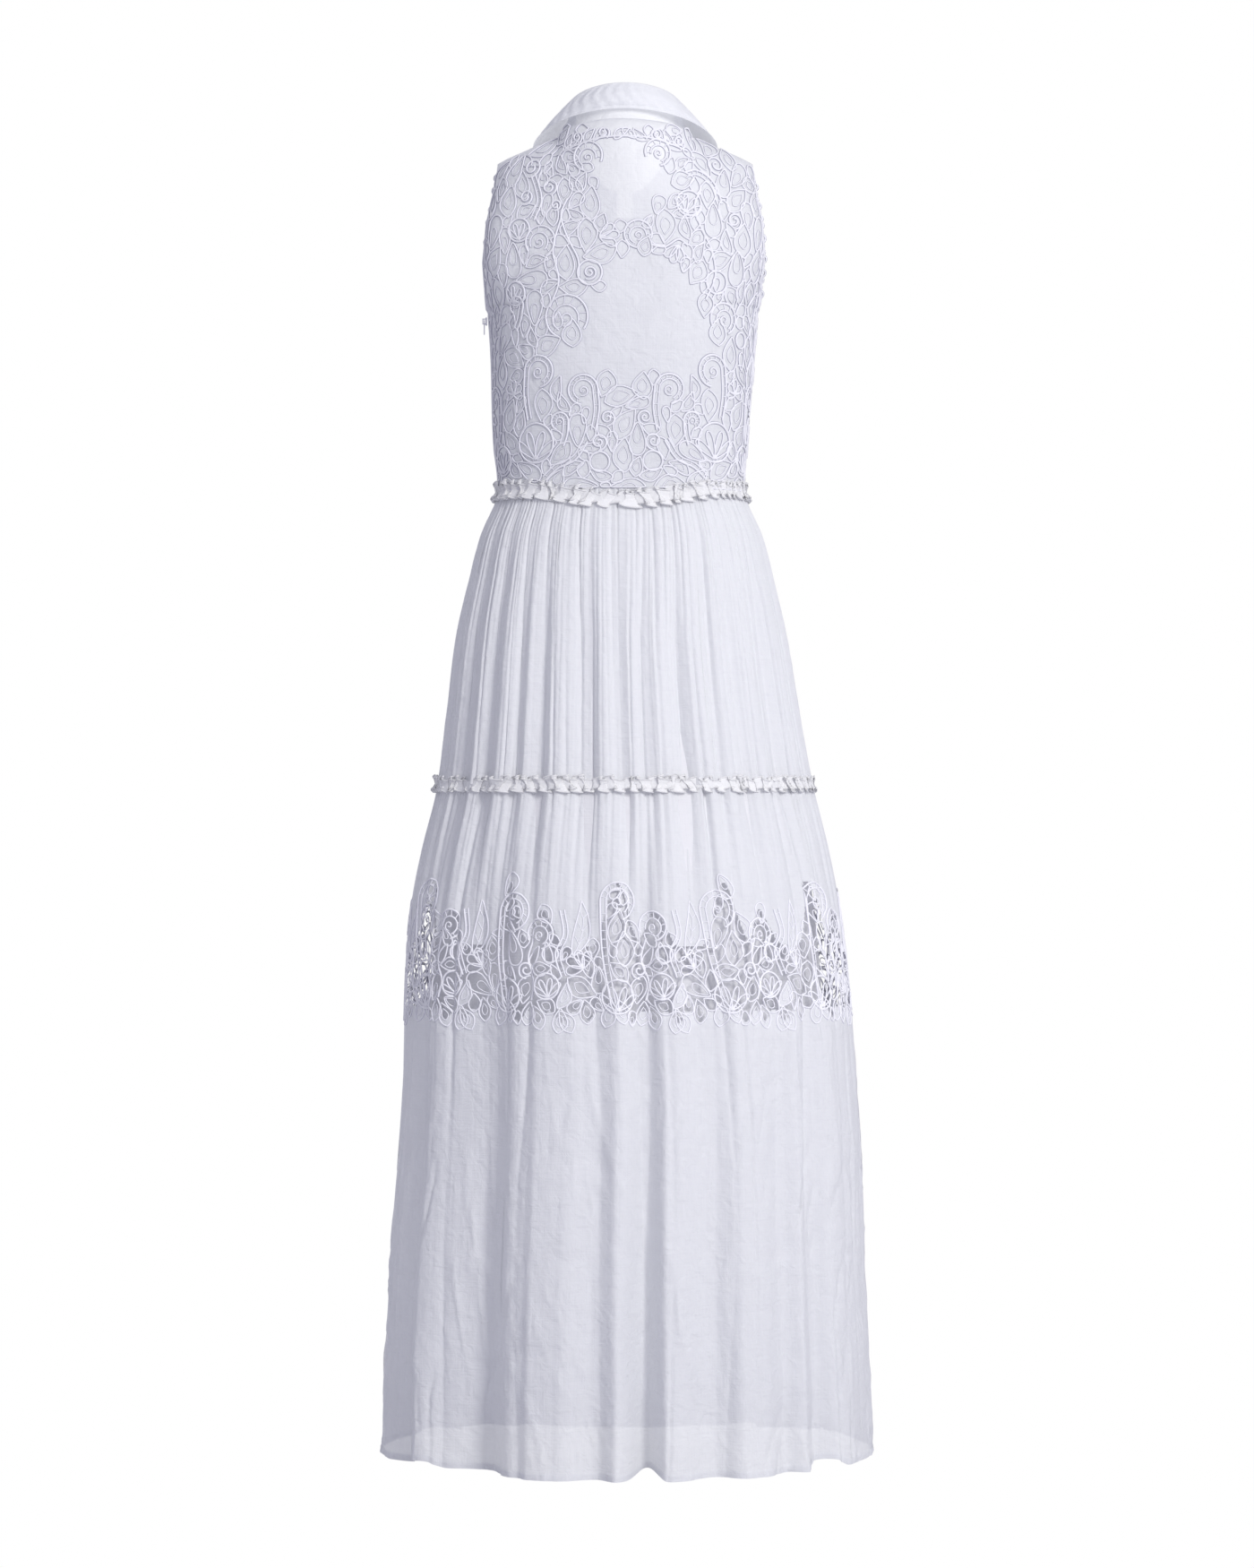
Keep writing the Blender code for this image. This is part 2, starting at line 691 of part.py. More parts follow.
def signed_volume(mesh):
    mesh.calc_loop_triangles()
    total = 0.0
    for triangle in mesh.loop_triangles:
        a, b, c = (mesh.vertices[index].co for index in triangle.vertices)
        total += a.dot(b.cross(c)) / 6
    return total


def squared_off(value):
    """Cosine or sine of a circle's turn, changed so that the circle has fuller corners."""
    return np.sign(value) * abs(value) ** WINDOW_SQUARENESS


def rectangle(low_x, high_x, low_z, high_z):
    return [(low_x, low_z), (high_x, low_z), (high_x, high_z), (low_x, high_z)]


def make_zip(metal):
    """Slider plate with an arched crown on it, and the pull whose bar turns under the crown."""
    top_z = ZIP_Z + PLATE_TALL / 2
    side_x = oval_point(FORM_LEVELS, top_z, 0.0)[0][X_AXIS]
    plate_x = side_x + CLOTH + LACE + 2 * SEAM_GAP
    face_x = plate_x + PLATE_THICK

    bpy.ops.mesh.primitive_cube_add(size=1.0)
    slider = bpy.context.object
    slider.name = "zip_slider"
    slider.data.name = "zip_slider"
    slider.data.materials.append(metal)
    for vertex in slider.data.vertices:
        vertex.co.x = ((plate_x + face_x) / 2 + vertex.co.x * PLATE_THICK) * MM
        vertex.co.y = vertex.co.y * PLATE_WIDE * MM
        vertex.co.z = (ZIP_Z + vertex.co.z * PLATE_TALL) * MM

    root_x = plate_x + PLATE_THICK / 2
    outer = rectangle(root_x, face_x + CROWN_REACH, ZIP_Z - CROWN_TALL / 2, ZIP_Z + CROWN_TALL / 2)
    inner = rectangle(face_x, face_x + CROWN_REACH - CROWN_WIRE,
                      ZIP_Z - CROWN_TALL / 2 + CROWN_WIRE, ZIP_Z + CROWN_TALL / 2 - CROWN_WIRE)
    crown = extrude_ring("crown_guide", outer, inner, -CROWN_WIDE / 2, CROWN_WIDE / 2,
                         Y_AXIS, metal)
    crown.hide_render = True
    crown.display_type = "WIRE"
    join = slider.modifiers.new("crown", "BOOLEAN")
    join.operation = "UNION"
    join.solver = "EXACT"
    join.object = crown

    right_side = [(half_width, height) for height, half_width in PULL_OUTLINE]
    outline = right_side + [(-half_width, height) for half_width, height in reversed(right_side)]
    count = len(outline)
    window = []
    for step in range(count):
        turn = pi / 2 - 2 * pi * (step + 0.5) / count
        window.append((WINDOW_HALF_WIDTH * squared_off(cos(turn)),
                       WINDOW_HALF_HEIGHT * squared_off(sin(turn))))
    bar_middle = (PULL_OUTLINE[0][0] + WINDOW_HALF_HEIGHT) / 2
    outline = [(across, up - bar_middle) for across, up in outline]
    window = [(across, up - bar_middle) for across, up in window]
    pull = extrude_ring("zip_pull", outline, window, -PULL_THICK / 2, PULL_THICK / 2,
                        X_AXIS, metal)
    pull.location = ((face_x + HINGE_REACH) * MM, 0.0, (ZIP_Z + HINGE_RISE) * MM)


def main():
    clear_scene()
    voile = make_material("voile", VOILE_COLOUR, 0.9)
    lace = make_material("corded_lace", LACE_COLOUR, 0.9)
    lining = make_material("lining", LINING_COLOUR, 0.9)
    make_bodice(voile, lace)
    make_collar(voile)
    make_tiers(voile, lace)
    make_lining(lining)
    make_ruffles(voile)
    make_zip(make_material("zip_metal", ZIP_COLOUR, 0.4, metallic=0.6))


main()
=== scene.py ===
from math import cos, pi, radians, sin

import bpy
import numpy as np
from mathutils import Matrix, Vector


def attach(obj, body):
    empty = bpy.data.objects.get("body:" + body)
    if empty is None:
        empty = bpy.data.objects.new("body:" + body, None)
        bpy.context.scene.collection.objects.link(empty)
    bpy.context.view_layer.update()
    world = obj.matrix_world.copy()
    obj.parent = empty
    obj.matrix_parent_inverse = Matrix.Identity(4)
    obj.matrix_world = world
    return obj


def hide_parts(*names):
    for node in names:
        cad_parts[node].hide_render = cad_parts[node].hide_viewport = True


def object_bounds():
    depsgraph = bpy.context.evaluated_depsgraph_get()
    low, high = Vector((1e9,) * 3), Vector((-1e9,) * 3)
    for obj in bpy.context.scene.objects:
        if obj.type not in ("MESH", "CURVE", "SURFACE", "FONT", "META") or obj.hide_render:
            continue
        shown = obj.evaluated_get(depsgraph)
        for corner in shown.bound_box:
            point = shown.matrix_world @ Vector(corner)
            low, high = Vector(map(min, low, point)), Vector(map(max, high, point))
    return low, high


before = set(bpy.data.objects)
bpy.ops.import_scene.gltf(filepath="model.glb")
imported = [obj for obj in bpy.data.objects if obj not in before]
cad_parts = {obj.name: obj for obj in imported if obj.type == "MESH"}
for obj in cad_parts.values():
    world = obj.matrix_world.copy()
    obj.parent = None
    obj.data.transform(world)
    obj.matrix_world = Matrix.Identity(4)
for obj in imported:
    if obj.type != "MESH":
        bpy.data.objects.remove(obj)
cad_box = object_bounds()

# Looks of a white maxi dress of crinkled cotton voile: a sleeveless collared bodice with corded
# lace, two gathered tiers with ruffled seams, a band of cutwork lace, and a lining slip.
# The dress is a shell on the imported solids. Lengths here are in millimetres, turned to metres
# where meshes are made. +Z is up, the back faces +Y, the wearer's left is +X. Angle 0 of an oval
# is the wearer's left side, 90 degrees the centre back and 270 degrees the centre front.

MM = 0.001
TINY = 1e-9
BODY = "dress"

# ---------------------------------------------------------------- sizes shared with the solids

UNDERARM_Z = -159.0
WAIST_Z = -348.0
TIER_SEAM_Z = -650.0
LACE_TOP_Z = -745.0
LACE_BOTTOM_Z = -896.0
HEM_Z = -1340.0
LINING_HEM_Z = -1296.0
NECK_SIDE_Z = 19.0
NECK_BACK_Z = 30.0
NECK_FRONT_Z = -52.0
SHOULDER_TIP_Z = -7.0
SHOULDER_TIP_X = 132.0
NECK_HALF_WIDTH = 68.0
NECK_BACK_DEPTH = 62.0
NECK_FRONT_DEPTH = 84.0
BODY_POWER = 2.3
SKIRT_POWER = 2.0
SKIRT_POWER_Z = -500.0
SHOULDER_ROUNDING = 2.7
NECK_SOFTNESS = 5.0
ARMHOLE_SCOOP_BACK = 34.0
ARMHOLE_SCOOP_FRONT = 46.0
ARMHOLE_RISES = (0.0, 0.3, 0.55, 0.8, 1.0)
ARMHOLE_HALF_WIDTHS = (140.0, 144.0, 141.0, 134.0, SHOULDER_TIP_X)

# The form from bodice to hem.
#               z      half width  back depth  front depth  shift to the wearer's left
FORM_LEVELS = (
    (UNDERARM_Z, 138.5, 110.0, 120.0, 2.5),
    (-208.0, 135.5, 106.0, 118.0, 3.0),
    (-255.0, 133.0, 99.0, 109.0, 4.0),
    (-302.0, 130.0, 92.0, 99.0, 5.0),
    (WAIST_Z, 128.0, 88.0, 94.0, 4.0),
    (-394.0, 147.0, 101.0, 107.0, 4.0),
    (-440.0, 159.0, 113.0, 117.0, 4.0),
    (-487.0, 170.0, 124.0, 126.0, 4.0),
    (-580.0, 184.0, 142.0, 142.0, 2.0),
    (TIER_SEAM_Z, 195.0, 152.0, 152.0, 0.0),
    (-720.0, 212.0, 165.0, 163.0, 0.0),
    (-766.0, 221.0, 172.0, 170.0, 0.0),
    (-859.0, 230.0, 183.0, 180.0, -2.0),
    (-952.0, 235.0, 190.0, 187.0, -4.0),
    (-1138.0, 246.0, 202.0, 199.0, -2.0),
    (HEM_Z, 255.0, 215.0, 210.0, -2.0),
)
LINING_LEVELS = (
    (WAIST_Z, 126.5, 86.5, 92.5, 4.0),
    (-440.0, 145.0, 99.0, 103.0, 4.0),
    (TIER_SEAM_Z, 178.0, 134.0, 134.0, 0.0),
    (-813.0, 198.0, 146.0, 144.0, 0.0),
    (LINING_HEM_Z, 203.0, 142.0, 140.0, 0.0),
)

# Sizes of the cut pieces before they are sewn: width and length in metres.
WAIST_RUFFLE_CUT = (1.40, 0.014)
TIER_RUFFLE_CUT = (1.90, 0.012)

# Main folds: troughs between rounded ridges. across is the place over the half
# width, from 1 at the wearer's left side to -1 at the right side.
#    across, width in degrees, depth
TIER_ONE_BACK_FOLDS = (
    (0.855, 14.0, 9.0), (0.735, 12.5, 10.0), (0.58, 9.5, 8.0), (0.455, 11.0, 9.0),
    (0.20, 14.0, 9.0), (0.01, 9.0, 5.0), (-0.14, 9.0, 5.0), (-0.33, 12.0, 8.0),
    (-0.51, 9.0, 6.0), (-0.65, 14.0, 8.0), (-0.85, 17.0, 10.0),
)
TIER_ONE_FRONT_FOLDS = (
    (0.86, 13.0, 7.0), (0.66, 13.0, 8.0), (0.42, 15.0, 8.0), (0.16, 14.0, 9.0),
    (-0.08, 13.0, 7.0), (-0.34, 14.0, 8.0), (-0.57, 14.0, 8.0), (-0.80, 13.0, 7.0),
)
TIER_TWO_BACK_FOLDS = (
    (0.90, 13.0, 15.0), (0.62, 36.0, 38.0), (0.44, 9.0, 7.0), (0.127, 14.0, 17.0),
    (-0.085, 12.0, 38.0), (-0.37, 18.0, 22.0), (-0.66, 14.0, 14.0), (-0.80, 14.0, 18.0),
)
TIER_TWO_FRONT_FOLDS = (
    (0.80, 15.0, 34.0), (0.52, 14.0, 26.0), (0.24, 13.0, 46.0), (-0.04, 14.0, 24.0),
    (-0.33, 13.0, 40.0), (-0.60, 14.0, 24.0), (-0.82, 13.0, 36.0),
)
# Reach of a fold's two sides, over half its width.
STEEP_SIDE = 0.72
SOFT_SIDE = 1.3
# Small folds between the main ones: how far each is off its even place, and how narrow its valley is.
RIPPLE_UNEVENNESS = 0.46
RIPPLE_SHARPNESS = 1.8
# Where the hem is drawn up.
#    across, width in degrees, rise
HEM_RISES = ((-0.10, 10.0, 9.0), (0.83, 16.0, 6.0), (-0.83, 16.0, 8.0))

# ---------------------------------------------------------------- the garment's form


NOISE_CELLS = 64
CREASE_SHARPNESS = 5


def signed_power(value, power):
    """A power of the size of a value, with the value's own sign."""
    return np.sign(value) * np.abs(value) ** power


def unit(vectors):
    return vectors / np.maximum(np.linalg.norm(vectors, axis=-1, keepdims=True), TINY)


def travelled_along(points):
    """Length along a line at each of its points."""
    steps = np.linalg.norm(np.diff(points, axis=0), axis=1)
    return np.concatenate([[0.0], np.cumsum(steps)])


def panel_angles(front):
    """First and last angle of the front or back panels."""
    return (pi, 2 * pi) if front else (0.0, pi)


def bell(away):
    """Smooth bump: 1 at 0 and 0 from 1 on."""
    return np.where(np.abs(away) < 1, 0.5 + 0.5 * np.cos(pi * np.clip(away, -1, 1)), 0.0)


def soft_noise(x, z, size_x, size_z, seed):
    """Smooth random relief from -1 to 1, with hills of the given sizes."""
    cells = NOISE_CELLS
    lattice = np.random.default_rng(seed).uniform(-1, 1, (cells, cells))
    u, v = np.asarray(x) / size_x, np.asarray(z) / size_z
    column, row = np.floor(u).astype(int), np.floor(v).astype(int)
    u, v = u - column, v - row
    u, v = u * u * (3 - 2 * u), v * v * (3 - 2 * v)
    left, right = column % cells, (column + 1) % cells
    low, high = row % cells, (row + 1) % cells
    return ((lattice[low, left] * (1 - u) + lattice[low, right] * u) * (1 - v)
            + (lattice[high, left] * (1 - u) + lattice[high, right] * u) * v)


def creases(x, z, size_x, size_z, lean, seed):
    """Fine creases of worn cloth: 1 along sharp lines that wander and lean, 0 between them."""
    leaning = x + lean * z + 0.6 * size_x * soft_noise(x, z, 2 * size_x, size_z, seed + 1)
    line = 1 - np.abs(soft_noise(leaning, z, size_x, size_z, seed))
    here = np.clip(0.5 + soft_noise(x, z, 2.5 * size_x, 1.2 * size_z, seed + 2), 0, 1)
    return np.clip(line, 0, 1) ** CREASE_SHARPNESS * here


def read_levels(levels, z):
    """Read a table of levels at heights z, smoothly from row to row."""
    table = np.array(levels)[::-1]
    heights = table[:, 0]
    slopes = np.gradient(table[:, 1:], heights, axis=0)
    index = np.clip(np.searchsorted(heights, z) - 1, 0, len(heights) - 2)
    step = heights[index + 1] - heights[index]
    t = np.clip((z - heights[index]) / step, 0, 1)[..., None]
    step = step[..., None]
    return (
        (1 + 2 * t) * (1 - t) ** 2 * table[index, 1:]
        + t * t * (3 - 2 * t) * table[index + 1, 1:]
        + t * (1 - t) ** 2 * step * slopes[index]
        + t * t * (t - 1) * step * slopes[index + 1]
    )


def oval(levels, z, angle):
    """Points of the form's ovals, and their outward and sideways directions."""
    z, angle = np.broadcast_arrays(np.asarray(z, float), np.asarray(angle, float))
    half_width, back, front, shift = np.moveaxis(read_levels(levels, z), -1, 0)
    power = np.interp(z, (SKIRT_POWER_Z, WAIST_Z), (SKIRT_POWER, BODY_POWER))
    across = signed_power(np.cos(angle), 2 / power)
    depth = signed_power(np.sin(angle), 2 / power)
    reach = np.where(depth >= 0, back, front)
    points = np.stack([shift + half_width * across, reach * depth, z], -1)
    outward = unit(np.stack([np.cos(angle) / half_width, np.sin(angle) / reach, 0 * z], -1))
    sideways = np.stack([-outward[..., 1], outward[..., 0], 0 * z], -1)
    return points, outward, sideways


def fold_angle(across, front):
    """Angle of a fold from its place over the half width."""
    angle = np.arccos(across)
    return 2 * pi - angle if front else angle


def troughs(angle, folds, front):
    """Depth of the listed folds, each steep on one side and soft on the other."""
    depth = 0.0
    for across, width, deepest in folds:
        away = angle - fold_angle(across, front)
        reach = radians(width / 2) * np.where(away > 0, STEEP_SIDE, SOFT_SIDE)
        depth = depth + deepest * bell(away / reach)
    return depth


def ripples(angle, z, front, count, seed, wander=0.25):
    """Uneven small folds side by side: 0 on rounded ridges and 1 in the narrow valleys.

    Each ridge drifts sideways and each valley comes and goes on its way down.
    """
    random = np.random.default_rng(seed + front)
    first, last = panel_angles(front)
    gap = (last - first) / count
    off = random.uniform(-RIPPLE_UNEVENNESS, RIPPLE_UNEVENNESS, count + 3)
    places = first + gap * (np.arange(-1, count + 2) + off)
    drift_pace = random.uniform(0.004, 0.012, count + 3)
    drift_start = random.uniform(0, 2 * pi, count + 3)
    fade_pace = random.uniform(0.008, 0.022, count + 3)
    fade_start = random.uniform(0, 2 * pi, count + 3)
    strength = random.uniform(0.2, 1.0, count + 3)
    depth = np.empty_like(angle)
    for row in range(angle.shape[0]):
        height = z[row, 0]
        now = places + gap * wander * np.sin(drift_pace * height + drift_start)
        phase = np.interp(angle[row], np.sort(now), np.arange(count + 3))
        strong = strength * (0.65 + 0.35 * np.sin(fade_pace * height + fade_start))
        valley = (1 - np.abs(np.cos(pi * phase))) ** RIPPLE_SHARPNESS
        depth[row] = valley * np.interp(phase, np.arange(count + 3) + 0.5, strong)
    return depth


# Mean radius, by which an angle is turned to a place across the cloth.
TIER_ONE_RADIUS = 190
TIER_TWO_RADIUS = 230
FOLD_ONSET = 0.9
# Small folds of a panel: how many, and the seed that places them.
TIER_ONE_MEDIUM = (42, 11)
TIER_ONE_FINE = (92, 21)
TIER_TWO_MEDIUM = (24, 31)
TIER_TWO_FINE = (70, 41)
#    size across, size down, lean, seed, height inward or outward
TIER_ONE_CREASES = ((16, 70, 0.1, 51, 0.5), (11, 45, -0.15, 54, -0.4))
TIER_TWO_CREASES = ((34, 120, 0.22, 61, 2.8), (26, 90, -0.30, 64, -2.6), (12, 34, 0.35, 67, 1.4))


def worn(across, z, table):
    """Relief of several sizes of creases together."""
    height = 0.0
    for size_x, size_z, lean, seed, tall in table:
        height = height + tall * creases(across, z, size_x, size_z, lean, seed)
    return height


def tier_one_depth(angle, z, front):
    """Depth of every fold of the upper tier, inward from the form."""
    drop = np.clip((WAIST_Z - z) / (WAIST_Z - TIER_SEAM_Z), 0, 1)
    folds = TIER_ONE_FRONT_FOLDS if front else TIER_ONE_BACK_FOLDS
    main = troughs(angle, folds, front) * np.minimum(drop * 1.6, 1.0)
    medium = ripples(angle, z, front, *TIER_ONE_MEDIUM) * (4.2 + 2.0 * drop)
    fine = ripples(angle, z, front, *TIER_ONE_FINE) * (2.6 * np.exp(-drop * 4.0) + 1.5)
    return main + medium + fine + worn(angle * TIER_ONE_RADIUS, z, TIER_ONE_CREASES)


def tier_one(angle, z, front):
    """Points of the upper tier, with all its folds."""
    points, outward, _ = oval(FORM_LEVELS, z, angle)
    return points - outward * tier_one_depth(angle, z, front)[..., None]


def main_folds(angle, z, front):
    """Depth of the lower tier's listed folds, and the share of the way down to the hem."""
    folds = TIER_TWO_FRONT_FOLDS if front else TIER_TWO_BACK_FOLDS
    drop = np.clip((TIER_SEAM_Z - z) / (TIER_SEAM_Z - HEM_Z), 0, 1)
    return troughs(angle, folds, front) * drop ** FOLD_ONSET, drop


def tier_two(angle, z, front):
    """Points of the lower tier, with all its folds and creases."""
    points, outward, _ = oval(FORM_LEVELS, z, angle)
    depth, drop = main_folds(angle, z, front)
    seam_row = np.full_like(z, TIER_SEAM_Z)
    depth = depth + tier_one_depth(angle, seam_row, front) * np.clip(1 - drop * 4, 0, 1)
    medium = ripples(angle, z, front, *TIER_TWO_MEDIUM)
    depth = depth + medium * (4.0 * np.exp(-drop * 2.2) + 3.0)
    fine = ripples(angle, z, front, *TIER_TWO_FINE)
    depth = depth + fine * (3.0 * np.exp(-drop * 8.0) + 0.5)
    low = np.clip(drop * 2.2 - 0.3, 0, 1)
    depth = depth - low * worn(angle * TIER_TWO_RADIUS, z, TIER_TWO_CREASES)
    return points - outward * depth[..., None]


def even_angles(curve, first, last, count):
    """Angles that cut a curve into equal lengths."""
    fine = np.linspace(first, last, 4001)
    travelled = travelled_along(curve(fine))
    return np.interp(np.linspace(0, travelled[-1], count + 1), travelled, fine), travelled[-1]


def shoulder_z(x):
    """Height of the shoulder seam."""
    share = (np.abs(x) - NECK_HALF_WIDTH) / (SHOULDER_TIP_X - NECK_HALF_WIDTH)
    return NECK_SIDE_Z + (SHOULDER_TIP_Z - NECK_SIDE_Z) * share


def bodice_top(x, front, below=0.0):
    """Depth and height of the top edge: neckline in the middle, shoulder seam at the sides.

    Some way below the edge, the neck's curve runs out softly into the shoulder.
    """
    share = np.minimum(np.abs(x) / NECK_HALF_WIDTH, 1.0)
    round_in = np.sqrt(1 - share ** 2)
    soft = (1 - share ** 2) ** (0.5 + NECK_SOFTNESS * below)
    if front:
        neck_y = -NECK_FRONT_DEPTH * soft
        neck_z = NECK_SIDE_Z + (NECK_FRONT_Z - NECK_SIDE_Z) * round_in
    else:
        neck_y = NECK_BACK_DEPTH * soft
        neck_z = NECK_SIDE_Z + (NECK_BACK_Z - NECK_SIDE_Z) * round_in
    at_neck = np.abs(x) < NECK_HALF_WIDTH
    return np.where(at_neck, neck_y, 0.0), np.where(at_neck, neck_z, shoulder_z(x))


def bodice(rise, angle, front):
    """Points of the bodice. rise is -1 at the waist, 0 at the underarm and 1 at the top edge."""
    rise, angle = np.broadcast_arrays(np.asarray(rise, float), np.asarray(angle, float))
    below, _, _ = oval(FORM_LEVELS, UNDERARM_Z + np.minimum(rise, 0) * (UNDERARM_Z - WAIST_Z), angle)
    _, back, front_depth, shift = read_levels(FORM_LEVELS, np.array(UNDERARM_Z))
    side = -1.0 if front else 1.0
    reach = front_depth if front else back
    up = np.clip(rise, 0, 1)
    across = signed_power(np.cos(angle), 2 / BODY_POWER)
    depth = np.abs(np.sin(angle)) ** (2 / BODY_POWER)
    x = across * np.interp(up, ARMHOLE_RISES, ARMHOLE_HALF_WIDTHS)
    top_y, top_z = bodice_top(across * SHOULDER_TIP_X, front, 1 - up)
    scoop = ARMHOLE_SCOOP_FRONT if front else ARMHOLE_SCOOP_BACK
    body_y = side * (reach * depth + scoop * np.sin(pi * up) * np.abs(across) ** 6)
    rounding = (1 - up ** SHOULDER_ROUNDING) ** (1 / SHOULDER_ROUNDING)
    y = top_y + (body_y - top_y) * rounding
    z = UNDERARM_Z + (top_z - UNDERARM_Z) * up
    above = np.stack([x + shift * (1 - up), y, z], -1)
    return np.where((rise > 0)[..., None], above, below)


def grid_normals(grid):
    """Outward directions of a grid whose columns run to the right as seen from outside."""
    along = np.gradient(grid, axis=0)
    across = np.gradient(grid, axis=1)
    return unit(np.cross(across, along))


# ---------------------------------------------------------------- meshes


def make_mesh(name, points, faces, material, flat=None):
    """Smooth mesh from points in millimetres. flat gives each point's place on the flat cloth."""
    mesh = bpy.data.meshes.new(name)
    mesh.from_pydata((np.asarray(points) * MM).tolist(), [], np.asarray(faces).tolist())
    mesh.materials.append(material)
    mesh.polygons.foreach_set("use_smooth", np.ones(len(mesh.polygons), bool))
    if flat is not None:
        corners = np.empty(len(mesh.loops), np.int32)
        mesh.loops.foreach_get("vertex_index", corners)
        layer = mesh.uv_layers.new(name="flat_cloth")
        layer.data.foreach_set("uv", (np.asarray(flat)[corners] * MM).astype(np.float32).ravel())
    mesh.update()
    piece = bpy.data.objects.new(name, mesh)
    bpy.context.scene.collection.objects.link(piece)
    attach(piece, BODY)
    return piece


def grid_faces(rows, columns, closed=False):
    """Quads of a grid whose columns run to the right as seen from outside, rows upward."""
    across = columns if closed else columns - 1
    row, column = np.meshgrid(np.arange(rows - 1), np.arange(across), indexing="ij")
    right = (column + 1) % columns
    quads = np.stack([row * columns + column, row * columns + right,
                      (row + 1) * columns + right, (row + 1) * columns + column], -1)
    return quads.reshape(-1, 4)


def grid_flat(grid):
    """Place of each grid point on the flat cloth, from the lengths along the grid."""
    across = np.zeros(grid.shape[:2])
    across[:, 1:] = np.cumsum(np.linalg.norm(np.diff(grid, axis=1), axis=2), axis=1)
    across[:] = across.mean(axis=0)
    along = np.zeros(grid.shape[:2])
    along[1:] = np.cumsum(np.linalg.norm(np.diff(grid, axis=0), axis=2), axis=0)
    along[:] = along.mean(axis=1)[:, None]
    return np.stack([across, along], -1).reshape(-1, 2)


def make_sheet(name, grid, material, keep=None, closed=False):
    """Open sheet of cloth on a grid of points. keep is a mask of the cells that are cloth."""
    rows, columns = grid.shape[:2]
    faces = grid_faces(rows, columns, closed)
    if keep is not None:
        faces = faces[np.asarray(keep).ravel()]
    points = grid.reshape(-1, 3)
    flat = grid_flat(grid)
    used, faces = np.unique(faces, return_inverse=True)
    return make_mesh(name, points[used], faces.reshape(-1, 4), material, flat=flat[used])


class ClothMap:
    """A surface read by place across and height, so that lace can be laid on it."""

    def __init__(self, across, heights, grid):
        self.across = np.asarray(across, float)
        self.heights = np.asarray(heights, float)
        self.grid = grid
        self.normals = grid_normals(grid)

    def read(self, places, lift):
        """Points over the flat places (across, height), lifted off the cloth."""
        column = (places[:, 0] - self.across[0]) / (self.across[1] - self.across[0])
        row = np.interp(places[:, 1], self.heights, np.arange(len(self.heights)))
        column = np.clip(column, 0, len(self.across) - 1.001)
        row = np.clip(row, 0, len(self.heights) - 1.001)
        left = column.astype(int)
        low = row.astype(int)
        u = (column - left)[:, None]
        v = (row - low)[:, None]
        point = 0.0
        normal = 0.0
        for step_row, row_share in ((0, 1 - v), (1, v)):
            for step_column, column_share in ((0, 1 - u), (1, u)):
                share = row_share * column_share
                point = point + share * self.grid[low + step_row, left + step_column]
                normal = normal + share * self.normals[low + step_row, left + step_column]
        normal = unit(normal)
        return point + normal * lift, normal


# ---------------------------------------------------------------- lace motifs, flat
# A motif is a list of strokes. A stroke is its points on the flat cloth and its cord's half width.

CORD = 1.15
THIN_CORD = 0.9
BAR = 0.55


def arc(centre_x, centre_z, radius, start, end, steps=24):
    turns = np.linspace(radians(start), radians(end), steps)
    return np.stack([centre_x + radius * np.cos(turns), centre_z + radius * np.sin(turns)], -1)


def smooth(points, steps=8):
    """Soft curve through a few points."""
    points = np.asarray(points, float)
    padded = np.concatenate([[2 * points[0] - points[1]], points, [2 * points[-1] - points[-2]]])
    t = np.linspace(0, 1, steps, endpoint=False)[:, None]
    out = []
    for a, b, c, d in zip(padded, padded[1:], padded[2:], padded[3:]):
        out.append(0.5 * (2 * b + (c - a) * t + (2 * a - 5 * b + 4 * c - d) * t ** 2
                          + (3 * b - 3 * c + d - a) * t ** 3))
    return np.concatenate(out + [points[-1:]])


def ring(radius, cord=THIN_CORD):
    return [(arc(0, 0, radius, 0, 360, 6 + int(radius * 3)), cord)]


def spiral(radius, turns=1.6, cord=CORD):
    """Snail curl that opens downward."""
    share = np.linspace(0, 1, int(14 * turns) + 8)
    reach = radius * (0.16 + 0.84 * share ** 0.9)
    turn = -pi / 2 - 2 * pi * turns * (1 - share)
    return [(np.stack([reach * np.cos(turn), reach * np.sin(turn)], -1), cord)]


def drop(length, width, cord=THIN_CORD):
    """Teardrop with its point at the origin, growing upward."""
    turn = np.linspace(0, 2 * pi, 22)
    up = length * (1 - np.cos(turn)) / 2
    side = width * 0.62 * np.sin(turn) * (0.25 + 0.75 * (1 - np.cos(turn)) / 2) ** 0.8
    return [(np.stack([side, up], -1), cord)]


def leaf(length, width, bend=0.12, veins=1):
    """Pointed leaf growing upward from the origin. One vein is a smaller leaf inside it, and more
    are a midrib with short side veins."""
    t = np.linspace(0, 1, 14)
    middle = np.stack([bend * length * np.sin(pi * t), length * t], -1)
    half = (width / 2 * np.sin(pi * t ** 0.8))[:, None] * np.array([1.0, 0.0])
    outline = np.concatenate([middle - half, (middle + half)[::-1]])
    strokes = [(outline, THIN_CORD)]
    if veins == 1:
        centre = outline.mean(axis=0)
        strokes.append(((outline - centre) * 0.5 + centre, BAR))
    elif veins:
        strokes.append((middle[:10], BAR))
        for vein in range(veins):
            root = middle[3 + 3 * vein]
            for side in (-1, 1):
                tip = root + np.array([side * width * 0.3, length * 0.13])
                strokes.append((np.array([root, tip]), BAR))
    return strokes


def petals(count, length, width, fan):
    """Fan of drops from one point, opening upward."""
    strokes = []
    for turn in np.linspace(-fan / 2, fan / 2, count):
        strokes += place(drop(length * (1 - 0.002 * abs(turn)), width), 0, 0, turn)
    return strokes


